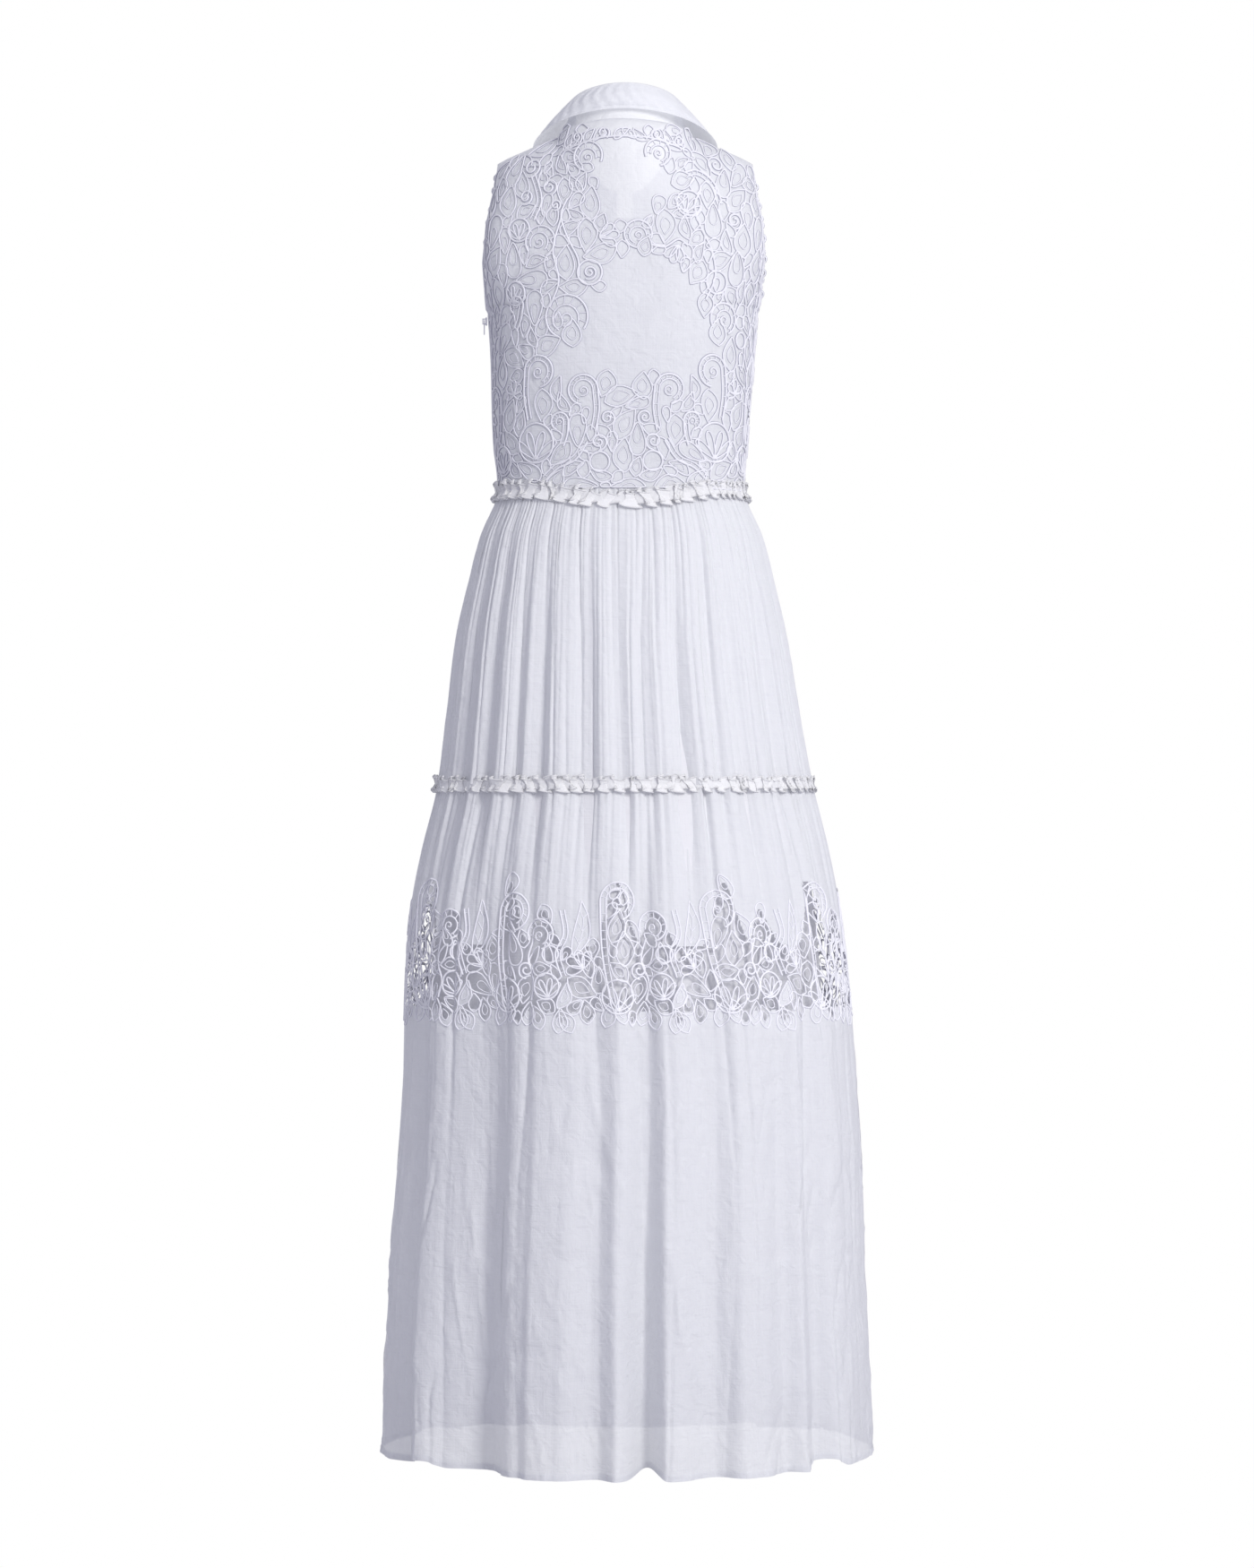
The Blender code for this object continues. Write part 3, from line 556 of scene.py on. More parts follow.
def ladder(outer, inner, rungs, cord=BAR):
    """Short bars between two parallel cords."""
    strokes = []
    for share in np.linspace(0.06, 0.94, rungs):
        ends = []
        for line in (outer, inner):
            index = share * (len(line) - 1)
            low = int(index)
            ends.append(line[low] + (line[min(low + 1, len(line) - 1)] - line[low]) * (index - low))
        strokes.append((np.array(ends), cord))
    return strokes


def hook(height, radius, band=5.0, rungs=9):
    """Paisley hook: a stem that rises from the origin and curls over to the right, with an inner
    parallel cord, a ladder of bars between the two, and a small curl at its end."""
    centre_z = height - radius
    head = arc(radius, centre_z, radius, 180, -75, 26)
    stem = smooth([(radius * 0.55, 0), (radius * 0.1, centre_z * 0.5), head[0]], 8)[:-1]
    outer = np.concatenate([stem, head])
    inner_radius = radius - band
    inner_head = arc(radius, centre_z, inner_radius, 180, -60, 24)
    inner_stem = smooth([(radius * 0.55 + band * 0.8, 2), (radius * 0.1 + band, centre_z * 0.5),
                         inner_head[0]], 8)[:-1]
    inner = np.concatenate([inner_stem, inner_head])
    strokes = [(outer, CORD), (inner, THIN_CORD)]
    strokes += ladder(head, inner_head, rungs)
    strokes += ladder(stem, inner_stem, max(2, int(centre_z / 9)))
    curl = inner_radius * 0.55
    strokes += place(spiral(curl, 1.3, THIN_CORD), radius, centre_z - inner_radius * 0.1, 35)
    return strokes


def crescent(radius, rungs=8):
    """Curl head: two nested arcs joined by radial bars, and a snail curl inside."""
    outer = arc(0, 0, radius, 215, -70, 30)
    inner = arc(radius * 0.05, -radius * 0.08, radius * 0.62, 200, -60, 26)
    strokes = [(outer, CORD), (inner, THIN_CORD)]
    strokes += ladder(outer, inner, rungs)
    strokes += place(spiral(radius * 0.36, 1.2, THIN_CORD), radius * 0.04, -radius * 0.1, 20)
    return strokes


def basket(radius):
    """Round basket: a ring with drops inside, standing on one point."""
    strokes = ring(radius, CORD)
    for turn in (-52, -18, 18, 52):
        strokes += place(drop(radius * 1.45, radius * 0.42), 0, -radius * 0.82, turn)
    strokes += place(ring(radius * 0.16, BAR), 0, -radius * 0.8, 0)
    return strokes


def twin_curve(points, band=4.6, rungs=6):
    """Two parallel cords along a soft curve, with bars between."""
    line = smooth(points, 8)
    across = np.gradient(line, axis=0)[:, ::-1] * np.array([1.0, -1.0])
    across = unit(across)
    one = line + across * band / 2
    other = line - across * band / 2
    return [(one, CORD), (other, THIN_CORD)] + ladder(one, other, rungs)


def stem(points, cord=CORD):
    return [(smooth(points, 8), cord)]


def place(strokes, x, z, turn=0.0, size=1.0, mirror=False):
    """Strokes mirrored, sized, turned by degrees to the left, and moved."""
    c, s = cos(radians(turn)), sin(radians(turn))
    spin = np.array([[c, s], [-s, c]]) * size
    flip = np.array([-1.0 if mirror else 1.0, 1.0])
    return [((points * flip) @ spin + np.array([x, z]), cord) for points, cord in strokes]


def laid(rows):
    """Strokes of many motifs. A row is a motif, its place across and height, and where they are
    needed its turn, its size and whether it is mirrored."""
    return [stroke for row in rows for stroke in place(*row)]


def inside(points, outline):
    """Which points lie inside a closed outline."""
    outline = np.asarray(outline, float)
    result = np.zeros(len(points), bool)
    low, high = outline.min(axis=0), outline.max(axis=0)
    near = np.flatnonzero(((points >= low) & (points <= high)).all(axis=1))
    if len(near) == 0:
        return result
    x, z = points[near, 0], points[near, 1]
    crossings = np.zeros(len(near), bool)
    for (ax, az), (bx, bz) in zip(outline, np.roll(outline, -1, axis=0)):
        if az == bz:
            continue
        passes = (az > z) != (bz > z)
        crossings ^= passes & (x < (bx - ax) * (z - az) / (bz - az) + ax)
    result[near] = crossings
    return result


def spaced(points, step):
    """The same line with points at even steps."""
    travelled = travelled_along(points)
    count = max(2, int(round(travelled[-1] / step)) + 1)
    places = np.linspace(0, travelled[-1], count)
    return np.stack([np.interp(places, travelled, points[:, 0]),
                     np.interp(places, travelled, points[:, 1])], -1)


# Filling the gaps: a distance beyond every gap, how far a drawn line is felt, the room left before
# a neighbour, how much longer than wide a fill may be, the radius from which a drop has
# another inside it, the one from which a curl fits, and the one from which a leaf has a vein.
FAR = 30.0
FELT_WITHIN = 14.0
ROOM_LEFT = 1.2
LONGEST_FILL = 1.8
NESTED_DROP = 5
SPIRAL_FILL = 4
VEINED_LEAF = 6.5


def fill_gaps(strokes, outlines, smallest, seed, step=1.6):
    """Fill what is left of a lace zone with leaves, drops, rings and curls, the widest gap first.

    Each one lies along the longest free way through its gap and touches its neighbours.
    """
    random = np.random.default_rng(seed)
    corners = np.concatenate([np.asarray(outline, float) for outline in outlines])
    low, high = corners.min(axis=0), corners.max(axis=0)
    x, z = np.meshgrid(np.arange(low[0], high[0], step), np.arange(low[1], high[1], step))
    cells = np.stack([x, z], -1)
    flat = cells.reshape(-1, 2)
    in_zone = np.zeros(len(flat), bool)
    for outline in outlines:
        in_zone |= inside(flat, outline)
    free = np.where(in_zone, FAR, -1.0).reshape(x.shape)

    def near(place_at):
        column = int(round((place_at[0] - low[0]) / step))
        row = int(round((place_at[1] - low[1]) / step))
        if 0 <= row < free.shape[0] and 0 <= column < free.shape[1]:
            return free[row, column]
        return -1.0

    def block(points, reach=FELT_WITHIN):
        """Lower the free distance round newly drawn points."""
        for part in np.array_split(points, max(1, len(points) // 12)):
            first = ((part.min(axis=0) - reach - low) / step).astype(int)
            last = ((part.max(axis=0) + reach - low) / step).astype(int) + 1
            rows = slice(max(first[1], 0), max(last[1], 0))
            columns = slice(max(first[0], 0), max(last[0], 0))
            window = cells[rows, columns]
            if window.size:
                away = np.linalg.norm(window[:, :, None] - part[None, None], axis=3).min(axis=2)
                free[rows, columns] = np.minimum(free[rows, columns], away)

    for points, _ in strokes:
        block(spaced(points, 2.0))
        size = np.ptp(points, axis=0).max()
        if size > 8 and np.linalg.norm(points[0] - points[-1]) < 0.6 * size:
            free[inside(flat, points).reshape(free.shape)] = -1.0
    added = []
    while True:
        row, column = np.unravel_index(int(np.argmax(free)), free.shape)
        room = free[row, column]
        if room < smallest:
            break
        centre = cells[row, column]
        radius = min(room, LARGEST_FILL)
        best = (0.0, 0.0, 0.0)
        for turn in range(0, 180, 15):
            way = np.array([-sin(radians(turn)), cos(radians(turn))])
            ends = []
            for sign in (1, -1):
                reach = radius
                longest = LONGEST_FILL * radius
                while reach < longest and near(centre + way * sign * (reach + step)) > ROOM_LEFT:
                    reach += step
                ends.append(reach)
            if sum(ends) > best[0] + 0.5:
                best = (sum(ends), float(turn), (ends[0] - ends[1]) / 2)
        length, turn, shift = best
        width = 2 * radius + 0.4
        pick = random.random()
        if length < 2.5 * radius and pick < 0.5:
            motif = spiral(radius, 1.5, THIN_CORD) if radius > SPIRAL_FILL else ring(radius)
            solid = ring(radius)[0][0]
        else:
            if pick < 0.6:
                motif = place(leaf(length, width, 0.06, int(radius > VEINED_LEAF)), 0, -length / 2)
            else:
                motif = place(drop(length, width), 0, -length / 2)
                if radius > NESTED_DROP:
                    motif += place(drop(length * 0.55, width * 0.45, BAR), 0, -length * 0.42)
            if random.random() < 0.4:
                turn += 180.0
                shift = -shift
            motif = place(motif, 0, shift)
            solid = motif[0][0]
        motif = place(motif, centre[0], centre[1], turn)
        solid = place([(solid, 0)], centre[0], centre[1], turn)[0][0]
        added += motif
        for points, _ in motif:
            block(spaced(points, 2.0))
        free[inside(flat, solid).reshape(free.shape)] = -1.0
        free[row, column] = -1.0
    return added


#    across in half widths, height in half widths
CORD_PROFILE = (
    (-1.3, -0.1),
    (-0.74, 0.9),
    (0.0, 1.4),
    (0.74, 0.9),
    (1.3, -0.1),
)


def cord_mesh(name, strokes, surface, material, lift=0.2, step=2.0, size=1.0):
    """Raised cords along strokes: a rounded ridge, with a low edge on both its sides that the cord's
    material darkens with painted shadow.
    """
    profile = np.array(CORD_PROFILE)
    points, faces, flats = [], [], []
    total = 0
    for line, half in strokes:
        line = spaced(line, step)
        centre, normal = surface.read(line, lift)
        along = unit(np.gradient(centre, axis=0) + 1e-9)
        side = unit(np.cross(along, normal))
        block = (centre[:, None] + side[:, None] * (profile[:, 0] * half * size)[None, :, None]
                 + normal[:, None] * (profile[:, 1] * half * size)[None, :, None])
        points.append(block.reshape(-1, 3))
        faces.append(grid_faces(len(line), len(profile)) + total)
        travelled = np.arange(len(line)) * step
        # Place across the cord, by which its material paints shadow on both edges.
        flats.append(np.stack(np.broadcast_arrays(profile[None, :, 0] * CORD,
                                                  travelled[:, None]), -1).reshape(-1, 2))
        total += len(line) * len(profile)
    faces = np.concatenate(faces)[:, ::-1]
    return make_mesh(name, np.concatenate(points), faces, material, flat=np.concatenate(flats))


# ---------------------------------------------------------------- materials


def linear(colour):
    """sRGB hex turned to linear light."""
    channels = [int(colour[index:index + 2], 16) / 255 for index in (1, 3, 5)]
    return tuple(c / 12.92 if c <= 0.04045 else ((c + 0.055) / 1.055) ** 2.4
                 for c in channels) + (1.0,)


def add(tree, kind, links=(), **settings):
    """A node with its settings, and its inputs set to a value or linked to another output."""
    node = tree.nodes.new(kind)
    for name, value in settings.items():
        setattr(node, name, value)
    for name, value in links:
        if isinstance(value, bpy.types.NodeSocket):
            tree.links.new(value, node.inputs[name])
        else:
            node.inputs[name].default_value = value
    return node


def new_material(name):
    material = bpy.data.materials.new(name)
    material.use_nodes = True
    material.node_tree.nodes.clear()
    return material, material.node_tree


def calculate(tree, operation, *values):
    return add(tree, "ShaderNodeMath", list(enumerate(values)), operation=operation).outputs[0]


def blend(tree, share, one, other):
    """One shader passing into another."""
    links = [("Fac", share), (1, one.outputs[0]), (2, other.outputs[0])]
    return add(tree, "ShaderNodeMixShader", links)


def tint(tree, share, one, other):
    """One sRGB colour passing into another."""
    links = [("Factor", share), ("A", linear(one)), ("B", linear(other))]
    return add(tree, "ShaderNodeMix", links, data_type="RGBA").outputs["Result"]


def relief(tree, height, strength, distance, under=None):
    """Surface direction of a fine relief, laid over a coarser one. distance is in millimetres."""
    links = [("Strength", strength), ("Distance", distance * MM), ("Height", height)]
    if under is not None:
        links.append(("Normal", under))
    return add(tree, "ShaderNodeBump", links).outputs["Normal"]


def flat_cloth(tree):
    """Place on the flat cloth, in metres."""
    return add(tree, "ShaderNodeUVMap", uv_map="flat_cloth").outputs["UV"]


def bands_scale(pitch):
    """Scale of a wave texture whose bands repeat at a pitch in millimetres."""
    return 2 * pi / (pitch * MM) / 20


def surface_of(tree, shader, kind="Material"):
    add(tree, "ShaderNodeOutput" + kind, [("Surface", shader.outputs[0])])


# Voile: pitch of two threads and length of a slub in millimetres, how much longer a slub is than
# it is thick, and the crinkles' scale: 70 to the metre is one in 14 mm.
VOILE_THREADS = 0.9
SLUB_LENGTH = 1.6
SLUB_STRETCH = 0.06
CRINKLE_SCALE = 70.0
VOILE_ROUGHNESS = 0.92
# Cord: pitch of the wound thread, and where its painted edge shadow begins and ends, over its half
# width.
WOUND_THREADS = 0.8
SHADOW_RIM_START = 0.75
SHADOW_RIM_END = 1.2
CORD_ROUGHNESS = 0.6
# Metal: scale of the enamel's faint orange peel: 900 to the metre is one in 1.1 mm.
ENAMEL_SCALE = 900.0
ENAMEL_ROUGHNESS = 0.3


def weave_height(tree):
    """Height of a plain weave: crossing threads, with slubs that run along both of them."""
    flat = flat_cloth(tree)
    threads, slubs = [], []
    for direction, stretch in (("X", (1.0, SLUB_STRETCH, 1.0)), ("Y", (SLUB_STRETCH, 1.0, 1.0))):
        wave = add(tree, "ShaderNodeTexWave", [
            ("Vector", flat), ("Scale", bands_scale(VOILE_THREADS)), ("Distortion", 1.2)],
            bands_direction=direction)
        threads.append(wave.outputs["Fac"])
        stretched = add(tree, "ShaderNodeMapping", [("Vector", flat), ("Scale", stretch)])
        slub = add(tree, "ShaderNodeTexNoise", [
            ("Vector", stretched.outputs["Vector"]), ("Scale", 1 / (SLUB_LENGTH * MM)),
            ("Detail", 2.0)])
        slubs.append(slub.outputs["Fac"])
    return calculate(tree, "ADD", *threads), calculate(tree, "ADD", *slubs)


def voile_material(name, colour, shade, see_through, let_through, crumple):
    """Crinkled cotton voile, woven of fine uneven thread: matt, softly streaked, slightly sheer."""
    material, tree = new_material(name)
    weave, slubs = weave_height(tree)
    where = add(tree, "ShaderNodeTexCoord").outputs["Object"]
    crinkles = add(tree, "ShaderNodeTexNoise", [
        ("Vector", where), ("Scale", CRINKLE_SCALE), ("Detail", 4.0), ("Distortion", 0.6)])
    normal = relief(tree, slubs, 0.35, 0.7)
    normal = relief(tree, crinkles.outputs["Fac"], crumple, 4.0, normal)
    normal = relief(tree, weave, 0.25, 0.2, normal)
    tone = tint(tree, slubs, shade, colour)
    cloth = add(tree, "ShaderNodeBsdfPrincipled", [
        ("Base Color", tone), ("Roughness", VOILE_ROUGHNESS), ("Sheen Weight", 0.12),
        ("Sheen Roughness", 0.6), ("Specular IOR Level", 0.15), ("Normal", normal)])
    glow = add(tree, "ShaderNodeBsdfTranslucent", [("Color", tone), ("Normal", normal)])
    clear = add(tree, "ShaderNodeBsdfTransparent")
    surface_of(tree, blend(tree, see_through, blend(tree, let_through, cloth, glow), clear))
    return material


def cord_material(name, colour, edge):
    """Satin-stitched cotton cord: thread wound across it, lustrous on top, with a painted shadow
    darkening both its edges.
    """
    material, tree = new_material(name)
    flat = flat_cloth(tree)
    thread = add(tree, "ShaderNodeTexWave", [
        ("Vector", flat), ("Scale", bands_scale(WOUND_THREADS)), ("Distortion", 0.8)],
        bands_direction="Y")
    across = add(tree, "ShaderNodeSeparateXYZ", [("Vector", flat)])
    # Painted shadow: the cord's colour turns to its darker edge colour towards both its sides.
    painted_shadow_rim = add(tree, "ShaderNodeMapRange", [
        ("Value", calculate(tree, "ABSOLUTE", across.outputs["X"])),
        ("From Min", SHADOW_RIM_START * CORD * MM), ("From Max", SHADOW_RIM_END * CORD * MM)])
    body = add(tree, "ShaderNodeBsdfPrincipled", [
        ("Base Color", tint(tree, painted_shadow_rim.outputs["Result"], colour, edge)),
        ("Roughness", CORD_ROUGHNESS), ("Sheen Weight", 0.1), ("Specular IOR Level", 0.3),
        ("Normal", relief(tree, thread.outputs["Fac"], 0.4, 0.3))])
    surface_of(tree, body)
    return material


def metal_material(name, colour):
    """Die-cast zip metal under white enamel: smooth, with a small sharp highlight."""
    material, tree = new_material(name)
    where = add(tree, "ShaderNodeTexCoord").outputs["Object"]
    peel = add(tree, "ShaderNodeTexNoise", [("Vector", where), ("Scale", ENAMEL_SCALE)])
    body = add(tree, "ShaderNodeBsdfPrincipled", [
        ("Base Color", linear(colour)), ("Roughness", ENAMEL_ROUGHNESS), ("Metallic", 0.15),
        ("Coat Weight", 0.5), ("Coat Roughness", 0.12),
        ("Normal", relief(tree, peel.outputs["Fac"], 0.08, 0.2))])
    surface_of(tree, body)
    return material


# ---------------------------------------------------------------- bodice

BODICE_COLUMNS = 200
BODICE_ROWS = 180
FRONT_CORD_STEP = 3.0
CLOTH_LIFT = 0.4
# Reach of the bodice's flat places: up to a height, and to both sides of the middle.
FLAT_TOP_Z = 42.0
FLAT_REACH = 236.0
FLAT_STEP = 2.0
# Rings of cord along the armholes, between two heights.
ARMHOLE_LOOPS_FROM = -150.0
ARMHOLE_LOOPS_TO = -18.0
ARMHOLE_LOOP_STEP = 7.0
ARMHOLE_LOOP_RADIUS = 3.4
# Widths that the gaps between the lace's motifs are filled down to and up to, as radii.
LARGEST_FILL = 10.0
BODICE_SMALLEST_FILL = 4.4
BAND_SMALLEST_FILL = 4.2
# The front's lace leaves the placket and a V under the collar free.
PLACKET_MARGIN = 9
FRONT_LACE_TOP_Z = -60
FRONT_LACE_SLOPE = 0.5


def bodice_relief(x, z):
    """Small soft puckers of the bodice cloth, outward, at a place across and in height."""
    slow = np.sin(x * 0.071 + 1.3 * np.sin(z * 0.021)) * np.sin(z * 0.033 + x * 0.017)
    pucker = np.sin((x - 100) * 0.62 + 1.5 * np.sin(z * 0.02)) * bell((x - 104) / 26)
    pucker = pucker * bell((z + 205) / 60)
    worn = creases(x, z, 15, 60, 0.1, 71)
    return 0.45 * slow + 0.6 * pucker + 0.35 * worn


def bodice_normals(rise, angle, front):
    """Outward directions of the bodice."""
    small = 0.004
    up = bodice(rise, angle, front) - bodice(rise - small, angle, front)
    across = bodice(rise, angle + small, front) - bodice(rise, angle - small, front)
    return unit(np.cross(across, up))


def bodice_grid(first, last, columns, front):
    """Grid of a bodice panel from the waist to the neckline, lying on the solid."""
    lower = np.linspace(-1.0, 0.0, BODICE_ROWS // 2, endpoint=False)
    upper = 1 - (1 - np.linspace(0.0, 1.0, BODICE_ROWS // 2)) ** 1.25
    rise = np.concatenate([lower, upper])[:, None]
    angle = np.linspace(first, last, columns)[None, :]
    grid = bodice(rise, angle, front)
    inner = np.minimum(rise, 0.985) + 0 * angle
    normals = bodice_normals(inner, np.clip(angle, first + 0.01, last - 0.01) + 0 * rise, front)
    puckers = bodice_relief(grid[..., 0], grid[..., 2])
    return grid + normals * (CLOTH_LIFT + puckers)[..., None]


def bodice_map(front):
    """The bodice by arc length from the middle and by height, reaching past its edges."""
    heights = np.arange(WAIST_Z, FLAT_TOP_Z, FLAT_STEP)
    places = np.arange(-FLAT_REACH, FLAT_REACH + 1, FLAT_STEP)
    turns = np.linspace(0, pi, 361)
    if front:
        turns = 2 * pi - turns
    grid = np.empty((len(heights), len(places), 3))
    reaches = []
    for row, z in enumerate(heights):
        if z <= UNDERARM_Z:
            rise = np.full(turns.shape, (z - UNDERARM_Z) / (UNDERARM_Z - WAIST_Z))
        else:
            across = signed_power(np.cos(turns), 2 / BODY_POWER)
            _, top = bodice_top(across * SHOULDER_TIP_X, front)
            rise = np.clip((z - UNDERARM_Z) / (top - UNDERARM_Z), 0, 0.995)
        line = bodice(rise, turns, front)
        line[:, 2] = z
        line = line[::-1] if line[0, 0] > line[-1, 0] else line
        travelled = travelled_along(line)
        travelled -= np.interp(0.0, line[:, 0], travelled)
        reaches.append(min(-travelled[0], travelled[-1]))
        for axis in (0, 1):
            inner = np.interp(places, travelled, line[:, axis])
            over = np.maximum(places - travelled[-1], 0) - np.maximum(travelled[0] - places, 0)
            slope = 1.0 if axis == 0 else 0.0
            grid[row, :, axis] = inner + over * slope
        grid[row, :, 2] = z
    surface = ClothMap(places, heights, grid)
    surface.reach = np.array(reaches)
    if not front:
        surface.normals *= -1.0
    puckers = bodice_relief(grid[..., 0], grid[..., 2])
    surface.grid = grid + surface.normals * (CLOTH_LIFT + puckers)[..., None]
    return surface


# Border round the back neckline: place across from the middle, and height.
NECK_ROW = ((66, 18), (60, 17), (52, 21), (43, 22), (33, 23), (22, 24), (11, 25))


def shoulder_lace():
    """Lace of the yoke's left half, round armhole and shoulder and down to the curl under it."""
    return laid([
        (spiral(11), 104, -20, 20), (crescent(15.5), 39, -12, -10),
        (leaf(26, 11), 62, -30, -25), (drop(17, 9), 84, -8, 60), (drop(17, 9), 66, -2, 75),
        (drop(15, 8), 88, -28, 20), (drop(15, 8), 78, -32, -30),
        (twin_curve([(101, -28), (94, -42), (90, -58), (97, -76)]), 0, 0),
        (spiral(9), 80, -43, -20), (leaf(24, 13), 74, -84, 8), (spiral(6), 72, -62, 10),
        (spiral(8.5), 106, -52, 30), (leaf(22, 11), 44, -48, -40), (leaf(22, 11), 46, -50, 15),
        (leaf(20, 10), 42, -76, -60), (petals(3, 20, 9, 70), 26, -96, 82),
        (stem([(60, -56), (66, -74), (58, -98), (48, -118), (47, -136)]), 0, 0),
        (ring(12.5, CORD), 36, -132), (spiral(7.5), 36, -132, 30), (crescent(16), 88, -99, 30),
        (leaf(26, 12), 104, -124, 75),
        (stem([(66, -76), (74, -108), (68, -140), (78, -166)]), 0, 0),
        (crescent(22, 10), 60, -176, 0), (leaf(24, 11), 92, -206, -20),
        (drop(20, 11), 118, -204, -10), (leaf(24, 11), 88, -152, 60), (basket(12), 112, -86, 0),
        (basket(12), 118, -150, 20), (hook(34, 9), 112, -188, 8),
    ])


def waist_lace():
    """Lace of the waist's left half, with tall hooks that rise from it."""
    return laid([
        (hook(66, 16), 112, -278, 6, 1.0, True), (hook(58, 15), 22, -290, -8),
        (leaf(28, 12), 70, -262, 8), (leaf(24, 11), 56, -272, -30),
        (petals(5, 15, 8, 200), 122, -252, 0), (basket(20), 94, -302, 0),
        (hook(34, 9), 58, -306, 0), (drop(17, 9), 42, -284, 10), (spiral(9), 27, -302, 0),
        (spiral(8), 18, -278, 0), (ring(10, CORD), 26, -322), (leaf(26, 12), 12, -338, -70),
        (leaf(26, 12), 64, -336, 60),
        (twin_curve([(40, -300), (52, -318), (70, -326), (84, -338)]), 0, 0),
        (hook(60, 15), 140, -300, -6), (basket(15), 142, -318, 0),
        (leaf(26, 12), 112, -336, -40),
    ])


def neck_lace():
    """Border of leaning leaves, drops and curls round the back neckline."""
    s = []
    for index, (across, z) in enumerate(NECK_ROW):
        for side in (-1, 1):
            x = side * across
            lean = side * (58 - 0.5 * across)
            if (index + side) % 3 == 0:
                s += place(spiral(6.5), x, z - 12, -side * 30, mirror=side < 0)
            elif (index + side) % 3 == 1:
                s += place(leaf(19, 9, 0.1, 1), x, z - 20, lean)
            else:
                s += place(drop(17, 9), x, z - 19, lean) + place(drop(9, 4.5, BAR), x, z - 17, lean)
    s += [(smooth([(70, -4), (48, 2), (24, 7), (0, 8), (-24, 7), (-48, 2), (-70, -4)]), CORD)]
    return s


def shoulder_lace_right():
    """Lace of the yoke's right half, which only roughly mirrors the left one."""
    return laid([
        (spiral(11), -102, -17, -20, 1.0, True), (crescent(14), -34, -8, 12, 1.0, True),
        (drop(17, 9), -62, -4, -70), (drop(17, 9), -78, -12, -50), (leaf(22, 10), -54, -26, 50),
        (twin_curve([(-64, -30), (-76, -27), (-88, -33), (-96, -44), (-100, -60)], 5.0, 9), 0, 0),
        (stem([(-80, -46), (-72, -62), (-78, -84), (-90, -108), (-94, -134), (-84, -158)]), 0, 0),
        (basket(13), -66, -60, 20), (leaf(26, 12), -44, -66, 58), (leaf(20, 10), -48, -72, 100),
        (crescent(14), -13, -93, -15),
        (stem([(-26, -104), (-40, -106), (-54, -98), (-64, -104)]), 0, 0),
        (petals(3, 19, 9, 60), -54, -104, 200), (leaf(26, 12), -66, -98, -10),
        (leaf(24, 11), -74, -122, 20), (ring(11.5, CORD), -96, -140), (drop(15, 9), -96, -150),
        (leaf(28, 12), -112, -112, -12), (spiral(9), -116, -76, 0),
        (crescent(16), -106, -176, 0, 1.0, True), (leaf(26, 12), -128, -160, 10),
        (ring(8, CORD), -132, -196), (drop(18, 10), -134, -226, 0), (ring(6.5), -130, -178),
    ])


YOKE_ZONE = (
    (72, 20), (40, 18), (0, 14), (0, 4), (24, 3), (40, -30), (28, -44), (34, -62), (22, -78),
    (2, -84), (2, -112), (22, -114), (24, -146), (48, -150), (36, -172), (44, -198), (64, -198),
    (80, -214), (128, -216), (158, -220), (206, -230), (206, -150), (176, -140), (176, -40),
    (150, -14), (130, -6),
)
YOKE_ZONE_RIGHT = (
    (-72, 20), (-40, 18), (0, 14), (0, 4), (-22, 3), (-38, -24), (-58, -26), (-56, -46),
    (-32, -62), (-30, -78), (-2, -78), (0, -106), (-44, -112), (-62, -128), (-80, -140),
    (-82, -170), (-90, -190), (-116, -200), (-118, -244), (-206, -244), (-206, -150),
    (-176, -140), (-176, -40), (-150, -14), (-130, -6),
)
WAIST_ZONE = (
    (0, -262), (12, -246), (26, -234), (44, -240), (56, -264), (72, -232), (90, -212),
    (110, -214), (124, -232), (140, -226), (160, -216), (206, -222), (206, -347), (0, -347),
)


def mirrored(outline):
    return tuple((-x, z) for x, z in outline)


def bodice_lace():
    left = shoulder_lace() + waist_lace()
    right = shoulder_lace_right() + place(waist_lace(), -2, 1, mirror=True)
    strokes = left + right + neck_lace()
    zones = (YOKE_ZONE, YOKE_ZONE_RIGHT, WAIST_ZONE, mirrored(WAIST_ZONE))
    return strokes + fill_gaps(strokes, zones, BODICE_SMALLEST_FILL, 5)


def trim_to(strokes, surface, over):
    """Bend strokes back that reach past the panel's edge, and leave out those beyond it."""
    kept = []
    for points, cord in strokes:
        reach = np.interp(points[:, 1], surface.heights, surface.reach) + over
        if (np.abs(points[:, 0]) < reach).mean() > 0.35:
            across = np.clip(points[:, 0], -reach, reach)
            kept.append((np.stack([across, points[:, 1]], -1), cord))
    return kept


def armhole_loops(surface):
    """Small rings of cord along both armholes, standing out past the cloth's edge."""
    strokes = []
    for index, z in enumerate(np.arange(ARMHOLE_LOOPS_FROM, ARMHOLE_LOOPS_TO, ARMHOLE_LOOP_STEP)):
        edge = np.interp(z, surface.heights, surface.reach)
        for side in (-1, 1):
            size = ARMHOLE_LOOP_RADIUS + 1.3 * sin(index * 2.4 + side)
            strokes += place(ring(size), side * (edge - 0.6), z + 1.5 * side)
    return strokes


